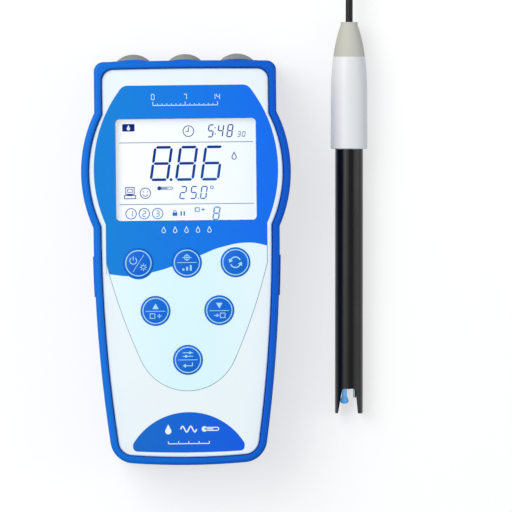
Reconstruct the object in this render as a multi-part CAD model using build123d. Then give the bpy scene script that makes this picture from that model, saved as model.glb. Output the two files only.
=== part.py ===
from build123d import *
import os
from math import atan, cos, degrees, pi, radians, sqrt, tan

# Portable pH meter lying on its back, with its electrode beside it. Sizes in millimetres and degrees.
# +X is the meter's right, +Y runs towards its sockets and +Z out of its face.
# The origin lies on the back face, on the meter's centre lines.

# Bands of the face from the socket end to the foot, which add up to the meter's length
top_margin = 10.4
name_band = 13.9
display_height = 43.0
legend_band = 17.7
key_pitch_upper = 20.1
key_pitch_lower = 20.7
film_end_margin = 13.1
inlay_gap = 8.9
inlay_height = 16.9
inlay_margin = 5.3

# Case outline across
display_width = 59.2
display_side = 14.5
top_step = 5.8
waist_step = 4.95
foot_taper = 7.4
flank_bow = 1.9
shoulder_rise = 2.6
waist_drop = 2.7
top_crown = 0.4
foot_crown = 1.7
top_round = 4.0
inner_round_step = 1.0
foot_round = 10.0
notch_round = 0.8

# Heights from the back face up, which add up to the meter's thickness
cover_recess = 0.2
cover_thickness = 2.0
cover_gasket_thickness = 0.8
cell_clearance = 0.4
cell_diameter = 14.5
ceiling_clearance = 0.5
ceiling_thickness = 1.4
board_clearance = 1.0
board_thickness = 1.6
key_well_height = 5.6
deck_thickness = 2.0
face_plate_thickness = 2.2
rim_height = 1.6

# Shells
wall = 2.5
back_wall = 2.4
parting_height = 6.5
back_round = 3.5
rim_width = 3.0
rim_round = 1.5
rim_bevel = 0.6
panel_gap = 0.3
panel_top_round = 5.0
panel_foot_round = 6.5
panel_edge_round = 0.7
grip_height = 0.4
grip_above = 3.0
grip_below = 14.0
grip_foot_margin = 2.5
gasket_inset = 0.75
gasket_width = 1.0
gasket_depth = 1.1
slack = 0.2

# Case screws
screw_radius = 1.25
screw_fit = 0.05
screw_head_radius = 2.6
screw_head_height = 1.8
screw_head_recess = 0.6
screw_length = 12.0
boss_radius = 3.0
boss_rib = 2.0
top_screw_inset = 6.85
top_screw_drop = 17.5
waist_screw_inset = 6.6
foot_screw_inset = 6.9
foot_screw_rise = 10.5

# Display
window_lap = 1.0
window_thickness = 1.45
ledge_lap = 0.2
display_frame_wall = 1.2
display_frame_ledge = 0.2
display_panel_lap = 0.9
display_panel_thickness = 2.5
display_recess = 0.3
display_corner = 2.0
backlight_side = 2.6
backlight_thickness = 4.0
backlight_corner = 3.8
least_corner = 0.3
contact_strip_width = 2.2
contact_strip_end = 1.5

# Film and inlay on the face
film_thickness = 0.35
film_recess = 0.3
film_side = 2.1
film_corner = 4.0
film_waist_side = 1.95
film_foot_half_width = 19.7
film_foot_rise = 13.1
film_flank_bow = 1.0
inlay_half_width = 23.4
inlay_tip_rise = 3.7
inlay_corner = 1.9
inlay_tip_round = 2.0
inlay_foot_crown = 0.7

# Keys
key_radius = 6.2
key_gap = 0.1
key_proud = 0.8
key_edge_round = 0.3
key_crown_radius = 45.0
key_travel = 0.8
key_stop_play = 0.1
key_flange_lap = 1.0
key_flange_thickness = 1.2
key_flange_gap = 0.3
key_stem_radius = 3.0
key_stem_gap = 0.3
key_row_1_inset = 9.2
key_row_2_inset = 16.2
mat_thickness = 1.2
mat_side_margin = 0.9
mat_margin = 2.2
mat_corner = 6.0

# Sockets at the top end
port_pitch = 21.8
port_height = 17.0
port_well_radius = 7.7
port_collar_wall = 1.2
port_well_depth = 12.3
port_floor = 2.0
port_flange_radius = 6.2
port_flange_thickness = 1.1
port_seal_thickness = 0.6
port_thread_radius = 4.4
port_thread_length = 5.8
nut_half_flat = 5.5
nut_thickness = 1.8
electrode_barrel_radius = 4.8
electrode_barrel_wall = 0.75
electrode_barrel_length = 9.0
lug_radius = 0.95
lug_height = 0.7
lug_setback = 2.9
contact_radius = 0.7
contact_neck_radius = 2.45
contact_fit = 0.02
contact_recess = 1.2
contact_tail = 1.4
insulator_base = 2.0
electrode_core_radius = 2.0
electrode_core_recess = 0.9
temperature_core_recess = 1.0
temperature_barrel_radius = 4.15
temperature_barrel_wall = 0.6
temperature_barrel_length = 8.1
temperature_bore_radius = 1.6
data_shell_width = 7.6
data_shell_height = 3.0
data_shell_wall = 0.35
data_shell_length = 7.5
data_shell_back = 1.0
data_tongue_half = 0.4
data_tongue_recess = 1.0
data_boss_radius = 5.5
data_boss_length = 5.0
lead_radius = 0.6
lead_bend = 1.2
lead_board_reach = 2.0
brow_width = 11.9
brow_height = 0.5
cap_gap = 0.3
cap_wall = 1.4
cap_dome_radius = 10.0
cap_proud = 2.9
cap_crown = 3.8
cap_flange_gap = 0.4

# Battery compartment
cell_length = 50.5
cell_nub_length = 1.3
cell_nub_radius = 2.75
cell_edge_round = 0.6
cell_pitch = 15.0
cell_side = 0.75
cell_end_room = 3.25
box_wall = 1.6
box_corner = 2.0
battery_foot_margin = 9.5
cover_lap = 2.0
cover_corner = 4.0
cover_tab_half_width = 17.0
cover_tab_length = 5.0
cover_screw_half_pitch = 12.0
cover_screw_inset = 1.8
cover_screw_grip = 1.5
cover_screw_tip = 0.5
cover_slot_depth = 0.5
slot_depth = 0.7
slot_width = 0.6
slot_share = 0.65
seat_thickness = 1.4
contact_sheet = 0.4
contact_width = 9.0
contact_tab_half_width = 1.5
bump_radius = 2.0
leaf_width = 6.0
leaf_flat = 1.0

# Tilt stand on the back
stand_drop = 22.5
stand_length = 46.0
stand_half_width = 24.0
stand_tip_half_width = 20.0
stand_thickness = 2.2
stand_recess = 0.5
stand_barrel_radius = 1.7
stand_side_gap = 0.4
stand_pocket_half_width = 26.5
stand_gap = 0.5
stand_pin_radius = 1.0
stand_pin_fit = 0.06
stand_tip_corner = 4.0
stand_grip_half_width = 9.0
stand_grip_margin = 3.0
stand_grip_width = 2.0
stand_grip_pitch = 3.5
stand_grip_depth = 0.7
pan_wall = 2.0
pan_ceiling = 1.4
scoop_radius = 8.0
scoop_depth = 2.4

# Main board
board_inset = 4.0
board_top_drop = 21.2
board_foot_rise = 15.0
post_radius = 2.2
upper_post_side = 5.7
upper_post_drop = 35.0
lower_post_inset = 3.45
lower_post_rise = 23.0
board_screw_radius = 0.9
board_screw_length = 6.0
board_screw_head_radius = 1.9
board_screw_head_height = 1.2

# Packages under the board: place across, rise above the display's foot, width, length and height
chip_packages = [
    (-13.0, 14.0, 12.0, 12.0, 1.6),
    (8.0, 18.0, 10.0, 7.0, 1.5),
    (22.0, 8.0, 6.0, 5.0, 1.2),
    (8.0, 4.0, 7.0, 5.0, 1.4),
    (-27.0, 10.0, 5.0, 9.0, 2.0),
    (-2.0, 30.0, 8.0, 8.0, 1.6),
]
capacitor_count = 3
capacitor_x = 16.0
capacitor_pitch = 4.0
capacitor_rise = 26.0
capacitor_radius = 1.5
capacitor_length = 4.5

# Electrode, measured from its prong tips along its own axis
electrode_tip_x = 67.5
electrode_tip_y = -64.3
electrode_yaw = -0.66
shaft_radius = 5.875
shaft_bore_radius = 4.6
shaft_exposed = 111.6
shaft_in_handle = 20.0
guard_depth = 10.5
guard_half_width = 2.8
guard_flare_left = 1.8
guard_flare_right = 1.0
guard_corner = 1.2
prong_round = 0.6
handle_radius = 7.75
handle_shoulder_radius = 7.65
handle_top_radius = 6.65
handle_length = 38.9
handle_shoulder_drop = 14.5
handle_shoulder_bow = 0.27
handle_edge = 0.4
handle_ledge = 2.0
boot_length = 14.6
boot_tip_radius = 3.5
boot_neck_flare = 0.12
boot_neck_length = 1.3
boot_side_bow = 0.38
boot_spigot_length = 5.0
boot_spigot_radius = 4.6
end_seal_length = 4.0
glass_offset = -1.9
stem_radius = 1.1
bulb_radius = 1.8
bulb_tip = 4.0
bulb_height = 5.6
bulb_neck_height = 7.1
bulb_neck_radius = 1.25
bulb_wall = 0.25
stem_length = 26.0
sensor_offset = 2.45
sensor_radius = 0.6
sensor_tip = 6.7
sensor_length = 16.0
junction_offset = 2.9
junction_radius = 0.6
junction_proud = 0.2
wire_radius = 0.35
wire_offset = 2.6
wire_tip = 40.0
top_seal_drop = 1.6
top_seal_length = 4.0
glue_gap = 0.05

# Cable and plug
cable_radius = 1.5
lead_straight = 13.5
tail_straight = 6.8
arc_share = 0.45
coil_x = 50.2
coil_y = 166.0
coil_mean_radius = 17.3
coil_turns_wide = 3
coil_height = 8.7
coil_round = 1.4
plug_x = 7.0
plug_y = 184.2
boot_radius = 2.4
plug_boot_length = 12.0
boot_flare = 1.2
boot_grooves = 4
boot_groove_start = 1.8
boot_groove_pitch = 2.6
boot_groove_width = 0.9
boot_groove_depth = 0.35
plug_body_radius = 5.0
plug_body_length = 10.0
plug_body_edge = 0.5
plug_neck_length = 2.0
plug_spigot_reach = 4.0
plug_nose_recess = 2.0
plug_floor = 1.0
plug_pin_recess = 3.0
ring_radius = 7.25
ring_length = 13.5
ring_bore_radius = 5.9
ring_fit = 0.08
ring_lip = 1.0
ring_lip_thickness = 2.4
ring_edge = 0.6
ring_grip_setback = 4.2
ring_step = 0.7
ring_step_taper = 0.3
ring_slot_half_width = 1.1
ring_slot_length = 3.2
ring_side_slot_width = 2.2
ring_side_slot_reach = 4.0
ring_flutes = 20
flute_radius = 0.45
plug_insulator_radius = 2.0
plug_insulator_length = 5.0
plug_sleeve_radius = 4.0
plug_sleeve_bore = 3.4
plug_pin_radius = 0.65

# Levels along the meter
case_length = (
    top_margin + name_band + display_height + legend_band + key_pitch_upper + key_pitch_lower
    + film_end_margin + inlay_gap + inlay_height + inlay_margin
)
y_top = case_length / 2
y_foot = -case_length / 2
film_top_y = y_top - top_margin
display_top_y = film_top_y - name_band
display_foot_y = display_top_y - display_height
display_y = (display_top_y + display_foot_y) / 2
row_1_y = display_foot_y - legend_band
row_2_y = row_1_y - key_pitch_upper
row_3_y = row_2_y - key_pitch_lower
film_foot_y = row_3_y - film_end_margin
inlay_top_y = film_foot_y - inlay_gap
inlay_foot_y = inlay_top_y - inlay_height

# Outline points on the meter's right side
bulge_x = display_width / 2 + display_side
top_x = bulge_x - top_step
waist_x = bulge_x - waist_step
foot_x = waist_x - foot_taper
shoulder_y = display_top_y + shoulder_rise
waist_y = display_foot_y - waist_drop
top_corner_y = y_top - top_crown
foot_corner_y = y_foot + foot_crown

# Heights
cover_top_z = cover_recess + cover_thickness
seat_z = cover_top_z + cover_gasket_thickness
cover_boss_z = seat_z + seat_thickness + cover_screw_grip + cover_screw_tip
cell_z = cover_top_z + cell_clearance + cell_diameter / 2
ceiling_z = cell_z + cell_diameter / 2 + ceiling_clearance
box_top_z = ceiling_z + ceiling_thickness
board_z = box_top_z + board_clearance
board_top_z = board_z + board_thickness
deck_z = board_top_z + key_well_height
deck_top_z = deck_z + deck_thickness
face_z = deck_top_z + face_plate_thickness
case_thickness = face_z + rim_height
film_z = face_z - film_recess
window_top_z = film_z
window_z = window_top_z - window_thickness
display_panel_top_z = deck_top_z - display_recess
display_panel_z = display_panel_top_z - display_panel_thickness
key_flange_top_z = deck_z - key_flange_gap
key_rest_gap = key_travel + key_stop_play
key_flange_z = key_flange_top_z - key_flange_thickness
mat_ring_z = key_flange_z - key_rest_gap
key_top_z = face_z + key_proud

# Places of the keys and the screws
row_1_x = display_width / 2 - key_row_1_inset
row_2_x = display_width / 2 - key_row_2_inset
keys = {
    "key_power": (-row_1_x, row_1_y),
    "key_calibrate": (0, row_1_y),
    "key_mode": (row_1_x, row_1_y),
    "key_up": (-row_2_x, row_2_y),
    "key_down": (row_2_x, row_2_y),
    "key_enter": (0, row_3_y),
}
top_screw = (top_x - top_screw_inset, y_top - top_screw_drop)
waist_screw = (waist_x - waist_screw_inset, row_1_y)
foot_screw = (foot_x - foot_screw_inset, y_foot + foot_screw_rise)
port_xs = (-port_pitch, 0, port_pitch)
well_floor_y = y_top - port_well_depth
port_back_y = well_floor_y - port_floor
port_collar_radius = port_well_radius + port_collar_wall
box_width = 2 * cell_pitch + cell_diameter + 2 * cell_side
box_length = cell_length + 2 * cell_end_room
cover_width = box_width + 2 * cover_lap
cover_length = box_length + 2 * cover_lap
cover_screw_y = cover_length / 2 + cover_screw_inset
battery_y = y_foot + battery_foot_margin + cover_tab_length + cover_length / 2
hinge_y = y_top - stand_drop
hinge_z = stand_recess + stand_barrel_radius


def mirrored(point):
    """The point and its mirror image across the meter's centre line."""
    return [point, (-point[0], point[1])]


case_screws = mirrored(top_screw) + mirrored(waist_screw) + mirrored(foot_screw)
cover_screws = [
    (x, battery_y + side * cover_screw_y)
    for x in (-cover_screw_half_pitch, cover_screw_half_pitch)
    for side in (-1, 1)
]
upper_post = (display_width / 2 + upper_post_side, y_top - upper_post_drop)
lower_post = (foot_x - lower_post_inset, y_foot + lower_post_rise)
board_posts = mirrored(upper_post) + mirrored(lower_post)


def slab(face, low, high):
    """The face, extruded from one height to another."""
    return extrude(Pos(0, 0, low) * face, amount=high - low, dir=(0, 0, 1))


def rod(radius, low, high, x=0.0, y=0.0):
    """An upright cylinder between two heights."""
    return Pos(x, y, (low + high) / 2) * Cylinder(radius, high - low)


def rod_y(radius, start, end, x=0.0, z=0.0):
    """A cylinder along Y."""
    return Pos(x, (start + end) / 2, z) * Rot(90, 0, 0) * Cylinder(radius, end - start)


def block(x, y, z):
    """A box between the two values given for each direction."""
    size = [high - low for low, high in (x, y, z)]
    middle = [(high + low) / 2 for low, high in (x, y, z)]
    return Pos(*middle) * Box(*size)


def turned(points, x=0.0, z=0.0):
    """A body turned about a line along Y, from (radius, y) points."""
    outline = make_face(Polyline(*[(radius, y) for radius, y in points], close=True))
    return Pos(x, 0, z) * revolve(outline, Axis.Y, 360)


def sharp_outline():
    """Plan of the case before its corners are rounded."""
    right = [
        Line((top_x, top_corner_y), (top_x, shoulder_y)),
        ThreePointArc((top_x, shoulder_y), (bulge_x, display_y), (waist_x, waist_y)),
        SagittaArc((waist_x, waist_y), (foot_x, foot_corner_y), flank_bow),
    ]
    left = [mirror(edge, Plane.YZ) for edge in right]
    top = ThreePointArc((-top_x, top_corner_y), (0, y_top), (top_x, top_corner_y))
    foot = ThreePointArc((-foot_x, foot_corner_y), (0, y_foot), (foot_x, foot_corner_y))
    return make_face([top, foot, *right, *left])


def case_face(inset, at_top, at_foot):
    """Plan of the case drawn in by inset, with the given radii at its top and foot corners."""
    face = sharp_outline()
    if inset:
        face = offset(face, amount=-inset, kind=Kind.INTERSECTION)
    rows = face.vertices().group_by(Axis.Y)
    face = fillet(rows[-1], at_top)
    face = fillet(face.vertices().group_by(Axis.Y)[0], at_foot)
    notches = [v for v in face.vertices() if waist_y - 2 * wall < v.Y < shoulder_y + 2 * wall]
    return fillet(notches, notch_round)


def rounded(width, length, radius, x=0.0, y=0.0):
    """A rectangle with round corners."""
    return Pos(x, y) * RectangleRounded(width, length, radius)


def film_face(grow=0.0):
    """Plan of the overlay film, which follows the bulge and ends in a round foot."""
    inset = rim_width + panel_gap + film_side
    side_x = waist_x - rim_width - panel_gap - film_waist_side
    bulge_radius = ((bulge_x - waist_x) ** 2 + (display_y - waist_y) ** 2) / (2 * (bulge_x - waist_x))
    radius = bulge_radius - inset
    centre_x = bulge_x - bulge_radius
    film_waist_y = display_y - sqrt(radius**2 - (side_x - centre_x) ** 2)
    top_reach_x = centre_x + sqrt(radius**2 - (film_top_y - display_y) ** 2)
    foot_y = film_foot_y + film_foot_rise
    right = [
        ThreePointArc((top_reach_x, film_top_y), (centre_x + radius, display_y), (side_x, film_waist_y)),
        Line((side_x, film_waist_y), (side_x, row_1_y)),
        SagittaArc((side_x, row_1_y), (film_foot_half_width, foot_y), film_flank_bow),
    ]
    left = [mirror(edge, Plane.YZ) for edge in right]
    top = Line((-top_reach_x, film_top_y), (top_reach_x, film_top_y))
    left_foot = (-film_foot_half_width, foot_y)
    right_foot = (film_foot_half_width, foot_y)
    foot = ThreePointArc(left_foot, (0, film_foot_y), right_foot)
    face = make_face([top, foot, *right, *left])
    face = fillet(face.vertices().group_by(Axis.Y)[-1], film_corner)
    return offset(face, amount=grow) if grow else face


def inlay_face(grow=0.0):
    """Plan of the half-moon inlay at the foot of the face."""
    tip_y = inlay_foot_y + inlay_tip_rise
    edge_y = inlay_foot_y + inlay_foot_crown
    top = ThreePointArc((-inlay_half_width, tip_y), (0, inlay_top_y), (inlay_half_width, tip_y))
    foot = ThreePointArc((-inlay_half_width, edge_y), (0, inlay_foot_y), (inlay_half_width, edge_y))
    ends = [Line((x, tip_y), (x, edge_y)) for x in (-inlay_half_width, inlay_half_width)]
    face = make_face([top, foot, *ends])
    rows = face.vertices().group_by(Axis.Y)
    face = fillet(rows[-1], inlay_tip_round)
    face = fillet(face.vertices().group_by(Axis.Y)[0], inlay_corner)
    return offset(face, amount=grow) if grow else face


def display_face(lap, corner=display_corner):
    """The display's opening, grown by lap on every side."""
    width = display_width + 2 * lap
    height = display_height + 2 * lap
    return rounded(width, height, max(corner + lap, least_corner), 0, display_y)


def screw_rib(x, y):
    """A rib that ties a screw boss to the nearest side wall."""
    reach = x + (boss_radius + wall) * (1 if x > 0 else -1)
    return block(sorted((x, reach)), (y - boss_rib / 2, y + boss_rib / 2), (parting_height, deck_z))


def grips():
    """The two raised finger grips on the flanks."""
    band = slab(case_face(-grip_height, top_round, foot_round), parting_height + grip_foot_margin, face_z)
    keep = block(
        (-2 * bulge_x, 2 * bulge_x), (row_1_y - grip_below, row_1_y + grip_above), (0, case_thickness)
    )
    return band & keep


def front_shell():
    """Deep front shell: walls, deck under the face, screw bosses and openings."""
    body = slab(case_face(0, top_round, foot_round), parting_height, case_thickness)
    body = fillet(body.faces().sort_by(Axis.Z)[-1].edges(), rim_round)
    body += grips()
    brow_radius = (brow_width**2 / 4 + brow_height**2) / (2 * brow_height)
    for x in port_xs:
        arch = rod(brow_radius, parting_height + wall, face_z, x, y_top + brow_height - brow_radius)
        body += arch & block((-top_x, top_x), (y_top - wall / 2, y_top + wall), (0, case_thickness))
    inner = case_face(wall, top_round - inner_round_step, foot_round - wall)
    body -= slab(inner, parting_height, deck_z)
    for x, y in case_screws:
        body += (screw_rib(x, y) + rod(boss_radius, parting_height, deck_z, x, y)) & slab(
            inner, parting_height, deck_z
        )
        body -= rod(screw_radius + screw_fit, parting_height, parting_height + screw_length, x, y)
    recess = case_face(rim_width, panel_top_round, panel_foot_round)
    body -= slab(recess, deck_top_z, case_thickness)
    rim_edges = body.faces().sort_by(Axis.Z)[-1].inner_wires()[0].edges()
    body = chamfer(rim_edges, rim_bevel)
    body -= slab(display_face(display_panel_lap + display_frame_wall + slack), deck_z, deck_top_z)
    for x, y in keys.values():
        body -= rod(key_radius + key_gap, deck_z, deck_top_z, x, y)
    for x in port_xs:
        body -= rod_y(port_collar_radius + slack / 2, y_top - 2 * wall, y_top + wall, x, port_height)
    return body


def cover_face(grow=0.0):
    """Plan of the battery cover, with a screw tab at each end."""
    main = rounded(cover_width + 2 * grow, cover_length + 2 * grow, cover_corner + grow, 0, battery_y)
    tab_width = 2 * (cover_tab_half_width + grow)
    tab_length = cover_length + 2 * (cover_tab_length + grow)
    return main + rounded(tab_width, tab_length, cover_corner + grow, 0, battery_y)


def stand_pocket():
    """The space in the back that holds the folded stand."""
    y_end = hinge_y - stand_length - stand_gap
    y_start = hinge_y + stand_barrel_radius + stand_gap
    depth = stand_recess + stand_thickness + stand_gap
    half = stand_pocket_half_width
    space = block((-half, half), (y_end, y_start), (0, depth))
    trough_z = hinge_z + stand_barrel_radius + slack
    trough_y = hinge_y - stand_barrel_radius - stand_gap
    space += block((-half, half), (trough_y, y_start), (0, trough_z))
    space += rod(scoop_radius, 0, scoop_depth, 0, y_end)
    return space


def rear_shell():
    """Shallow rear shell with the battery box, the stand's pan, screw bosses and board posts."""
    body = slab(case_face(0, top_round, foot_round), 0, parting_height)
    body = fillet(body.faces().sort_by(Axis.Z)[0].edges(), back_round)
    inner = case_face(wall, top_round - inner_round_step, foot_round - wall)
    body -= slab(inner, back_wall, parting_height)
    body += rounded_box(box_width + 2 * box_wall, box_length + 2 * box_wall, 0, box_top_z)
    body += slab(cover_face(seat_thickness), 0, seat_z + seat_thickness)
    pan_y = (hinge_y - stand_length, hinge_y + stand_barrel_radius)
    pan_half = stand_pocket_half_width + pan_wall
    pan_top_z = hinge_z + stand_barrel_radius + slack + pan_ceiling
    pan_ends = (pan_y[0] - stand_gap - pan_wall, pan_y[1] + stand_gap + pan_wall)
    body += block((-pan_half, pan_half), pan_ends, (0, pan_top_z))
    body += rod(scoop_radius + pan_wall, 0, scoop_depth + pan_ceiling, 0, pan_y[0] - stand_gap)
    for x, y in case_screws:
        body += rod(boss_radius + slack, 0, parting_height, x, y)
    for x, y in cover_screws:
        body += rod(boss_radius, seat_z, cover_boss_z + seat_thickness, x, y)
    for x, y in board_posts:
        body += rod(post_radius, back_wall / 2, board_z, x, y)
    body -= rounded_box(box_width, box_length, 0, ceiling_z)
    body -= slab(cover_face(slack), 0, seat_z)
    body -= stand_pocket()
    bore = Rot(0, 90, 0) * Cylinder(stand_pin_radius + screw_fit, 2 * pan_half)
    body -= Pos(0, hinge_y, hinge_z) * bore
    body -= gasket_ring(0)
    for x, y in case_screws:
        body -= rod(screw_radius + screw_fit, 0, parting_height, x, y)
        body -= rod(screw_head_radius + slack, 0, screw_head_recess + screw_head_height, x, y)
    for x, y in cover_screws:
        body -= rod(screw_radius + screw_fit, 0, cover_boss_z, x, y)
    for x, y in board_posts:
        body -= rod(board_screw_radius + screw_fit, board_z - board_screw_length, board_z, x, y)
    for x, y in (contact_tab_a, contact_tab_b):
        body -= block(
            (x - contact_tab_half_width - slack, x + contact_tab_half_width + slack),
            (y - contact_sheet / 2 - slack, y + contact_sheet / 2 + slack),
            (ceiling_z, box_top_z),
        )
    return body


def rounded_box(width, length, low, high):
    """The battery box's rounded plan between two heights."""
    return slab(rounded(width, length, box_corner, 0, battery_y), low, high)


def gasket_ring(play):
    """The sealing ring in the rear shell's rim, drawn in by play on each side."""
    outer = case_face(gasket_inset + play, top_round - gasket_inset, foot_round - gasket_inset)
    inner_inset = gasket_inset + gasket_width
    inner = case_face(inner_inset - play, top_round - inner_inset, foot_round - inner_inset)
    low = parting_height - gasket_depth
    return slab(outer, low, parting_height) - slab(inner, low, parting_height)


def case_screw_set():
    """The screws that close the case from the back."""
    screws = []
    for x, y in case_screws:
        head = rod(screw_head_radius, screw_head_recess, screw_head_recess + screw_head_height, x, y)
        shank_z = screw_head_recess + screw_head_height
        shank = rod(screw_radius, shank_z, shank_z + screw_length, x, y)
        drive = cross_slot(screw_head_radius, screw_head_recess, x, y)
        screws.append(head + shank - drive)
    return Compound(screws)


def cross_slot(head_radius, z, x, y, depth=slot_depth):
    """A cross recess cut upwards into a screw head that faces down."""
    reach = slot_share * 2 * head_radius
    arms = Box(reach, slot_width, 2 * depth) + Box(slot_width, reach, 2 * depth)
    return Pos(x, y, z) * arms


def face_plate():
    """White plate inside the rim, with recesses for the film and the inlay."""
    inset = rim_width + panel_gap
    outline = case_face(inset, panel_top_round - panel_gap, panel_foot_round - panel_gap)
    body = slab(outline, deck_top_z, face_z)
    body = fillet(body.faces().sort_by(Axis.Z)[-1].edges(), panel_edge_round)
    body -= slab(film_face(screw_fit), film_z, face_z)
    body -= slab(inlay_face(screw_fit), film_z, face_z)
    body -= slab(display_face(-ledge_lap), deck_top_z, face_z)
    body -= slab(display_face(window_lap + slack / 2), window_z, face_z)
    for x, y in keys.values():
        body -= rod(key_radius + key_gap, deck_top_z, face_z, x, y)
    return body


def overlay_film():
    """Thin printed film with openings for the display and the keys."""
    body = slab(film_face(), film_z, film_z + film_thickness)
    body -= slab(display_face(0), film_z, film_z + film_thickness)
    for x, y in keys.values():
        body -= rod(key_radius + key_gap, film_z, film_z + film_thickness, x, y)
    return body


def display_frame():
    """Frame on the board that holds the display panel over its backlight."""
    outer = display_panel_lap + display_frame_wall
    body = slab(display_face(outer), board_top_z, deck_top_z - slack)
    body -= slab(display_face(display_panel_lap + slack / 2), display_panel_z, deck_top_z)
    body -= slab(display_face(-display_frame_ledge), board_top_z, display_panel_z)
    return body


def contact_strips():
    """Two elastic strips that join the display panel to the board."""
    half = display_width / 2 - contact_strip_end
    strips = []
    for side in (-1, 1):
        y = display_y + side * (display_height / 2 - slack * 2 - contact_strip_width / 2)
        strips.append(
            block(
                (-half, half),
                (y - contact_strip_width / 2, y + contact_strip_width / 2),
                (board_top_z, display_panel_z),
            )
        )
    return Compound(strips)


def backlight_panel():
    """Light guide under the display panel."""
    lap = -contact_strip_width - backlight_side / 2 - slack
    return slab(display_face(lap, backlight_corner), board_top_z, board_top_z + backlight_thickness)


def main_board():
    """Circuit board cut to the case, with notches at the waist bosses."""
    outline = case_face(board_inset, top_round - inner_round_step, foot_round - board_inset)
    keep = Pos(0, (y_top - board_top_drop + y_foot + board_foot_rise) / 2) * Rectangle(
        2 * bulge_x, (y_top - board_top_drop) - (y_foot + board_foot_rise)
    )
    body = slab(outline & keep, board_z, board_top_z)
    for x, y in mirrored(waist_screw):
        body -= rod(boss_radius + 2 * slack, board_z, board_top_z, x, y)
        side = 1 if x > 0 else -1
        notch_x = sorted((x, side * bulge_x))
        half = boss_rib / 2 + 2 * slack
        body -= block(notch_x, (y - half, y + half), (board_z, board_top_z))
    for x, y in board_posts:
        body -= rod(board_screw_radius + slack, board_z, board_top_z, x, y)
    return body


def board_chips():
    """Packages on the underside of the board, clear of the battery box."""
    chips = []
    for x, rise, width, length, height in chip_packages:
        y = display_foot_y + rise
        sides = (x - width / 2, x + width / 2)
        ends = (y - length / 2, y + length / 2)
        chips.append(block(sides, ends, (board_z - height, board_z)))
    for number in range(capacitor_count):
        x = capacitor_x + number * capacitor_pitch
        y = display_foot_y + capacitor_rise
        chips.append(rod(capacitor_radius, board_z - capacitor_length, board_z, x, y))
    return Compound(chips)


def board_screw_set():
    """The screws that hold the board on its posts."""
    screws = []
    for x, y in board_posts:
        shank = rod(board_screw_radius, board_top_z - board_screw_length, board_top_z, x, y)
        head = rod(board_screw_head_radius, board_top_z, board_top_z + board_screw_head_height, x, y)
        screws.append(shank + head)
    return Compound(screws)


def keypad_mat():
    """Rubber mat on the board, with a raised ring round each key's stem."""
    top_y = row_1_y + key_radius + mat_margin
    foot_y = row_3_y - key_radius - mat_margin
    half_width = row_1_x + key_radius + mat_side_margin
    plan = rounded(2 * half_width, top_y - foot_y, mat_corner, 0, (top_y + foot_y) / 2)
    body = slab(plan, board_top_z, board_top_z + mat_thickness)
    for x, y in keys.values():
        body += rod(key_radius, board_top_z, mat_ring_z, x, y)
    for x, y in keys.values():
        body -= rod(key_stem_radius + key_stem_gap, board_top_z, mat_ring_z, x, y)
    return body


def key(x, y):
    """One key: a crowned cap through the face, a flange under the deck and a stem over the board."""
    cap = rod(key_radius, key_flange_top_z, key_top_z, x, y)
    cap &= Pos(x, y, key_top_z - key_crown_radius) * Sphere(key_crown_radius)
    circles = [edge for edge in cap.edges().filter_by(GeomType.CIRCLE) if edge.radius < key_crown_radius]
    cap = fillet(ShapeList(circles).sort_by(Axis.Z)[-1], key_edge_round)
    flange = rod(key_radius + key_flange_lap, key_flange_z, key_flange_top_z, x, y)
    stem = rod(key_stem_radius, board_top_z + key_rest_gap, key_flange_z, x, y)
    return cap + flange + stem


def battery_cover():
    """Flat cover with a screw tab at each end and a rounded outer edge."""
    body = slab(cover_face(), cover_recess, cover_top_z)
    body = fillet(body.faces().sort_by(Axis.Z)[0].edges(), cover_recess * 2)
    for x, y in cover_screws:
        body -= rod(screw_radius + slack, cover_recess, cover_top_z, x, y)
        body -= rod(screw_head_radius + slack, cover_recess, cover_recess + cover_thickness / 2, x, y)
    return body


def battery_cover_gasket():
    """Flat ring between the cover and its seat."""
    outer = rounded(cover_width - 2 * slack, cover_length - 2 * slack, cover_corner, 0, battery_y)
    inner = rounded(box_width + 2 * slack, box_length + 2 * slack, box_corner, 0, battery_y)
    return slab(outer, cover_top_z, seat_z) - slab(inner, cover_top_z, seat_z)


def battery_cover_screws():
    """The screws of the battery cover."""
    screws = []
    for x, y in cover_screws:
        head_top = cover_recess + cover_thickness / 2
        head = rod(screw_head_radius, cover_recess + slack / 2, head_top, x, y)
        shank = rod(screw_radius, head_top, seat_z + seat_thickness + cover_screw_grip, x, y)
        drive = cross_slot(screw_head_radius, cover_recess + slack / 2, x, y, cover_slot_depth)
        screws.append(head + shank - drive)
    return Compound(screws)


def aa_cells():
    """Three cells side by side, every second one turned round."""
    cells = []
    radius = cell_diameter / 2
    half = cell_length / 2
    for number, x in enumerate((-cell_pitch, 0, cell_pitch)):
        can = rod_y(radius, -half, half - cell_nub_length)
        can = fillet(can.edges(), cell_edge_round)
        can += rod_y(cell_nub_radius, half - cell_nub_length - cell_edge_round, half)
        turn = Rot(0, 0, 180) if number == 1 else Rot(0, 0, 0)
        cells.append(Pos(x, battery_y, cell_z) * turn * can)
    return Compound(cells)


contact_end_y = box_length / 2 - contact_sheet / 2 - slack / 2
contact_tab_a = (-cell_pitch, battery_y + contact_end_y)
contact_tab_b = (cell_pitch, battery_y - contact_end_y)


def contact_plate(x_left, x_right, end):
    """A flat contact sheet against one end of the battery box."""
    y = battery_y + end * contact_end_y
    half = contact_width / 2
    return block(
        (x_left - half, x_right + half),
        (y - contact_sheet / 2, y + contact_sheet / 2),
        (cell_z - half, cell_z + half),
    )


def contact_bump(x, end):
    """A pressed bump that meets a cell's nub."""
    y = battery_y + end * (contact_end_y - contact_sheet / 2)
    tip = battery_y + end * (cell_length / 2 + slack / 2)
    return rod_y(bump_radius, min(y, tip), max(y, tip), x, cell_z)


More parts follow.
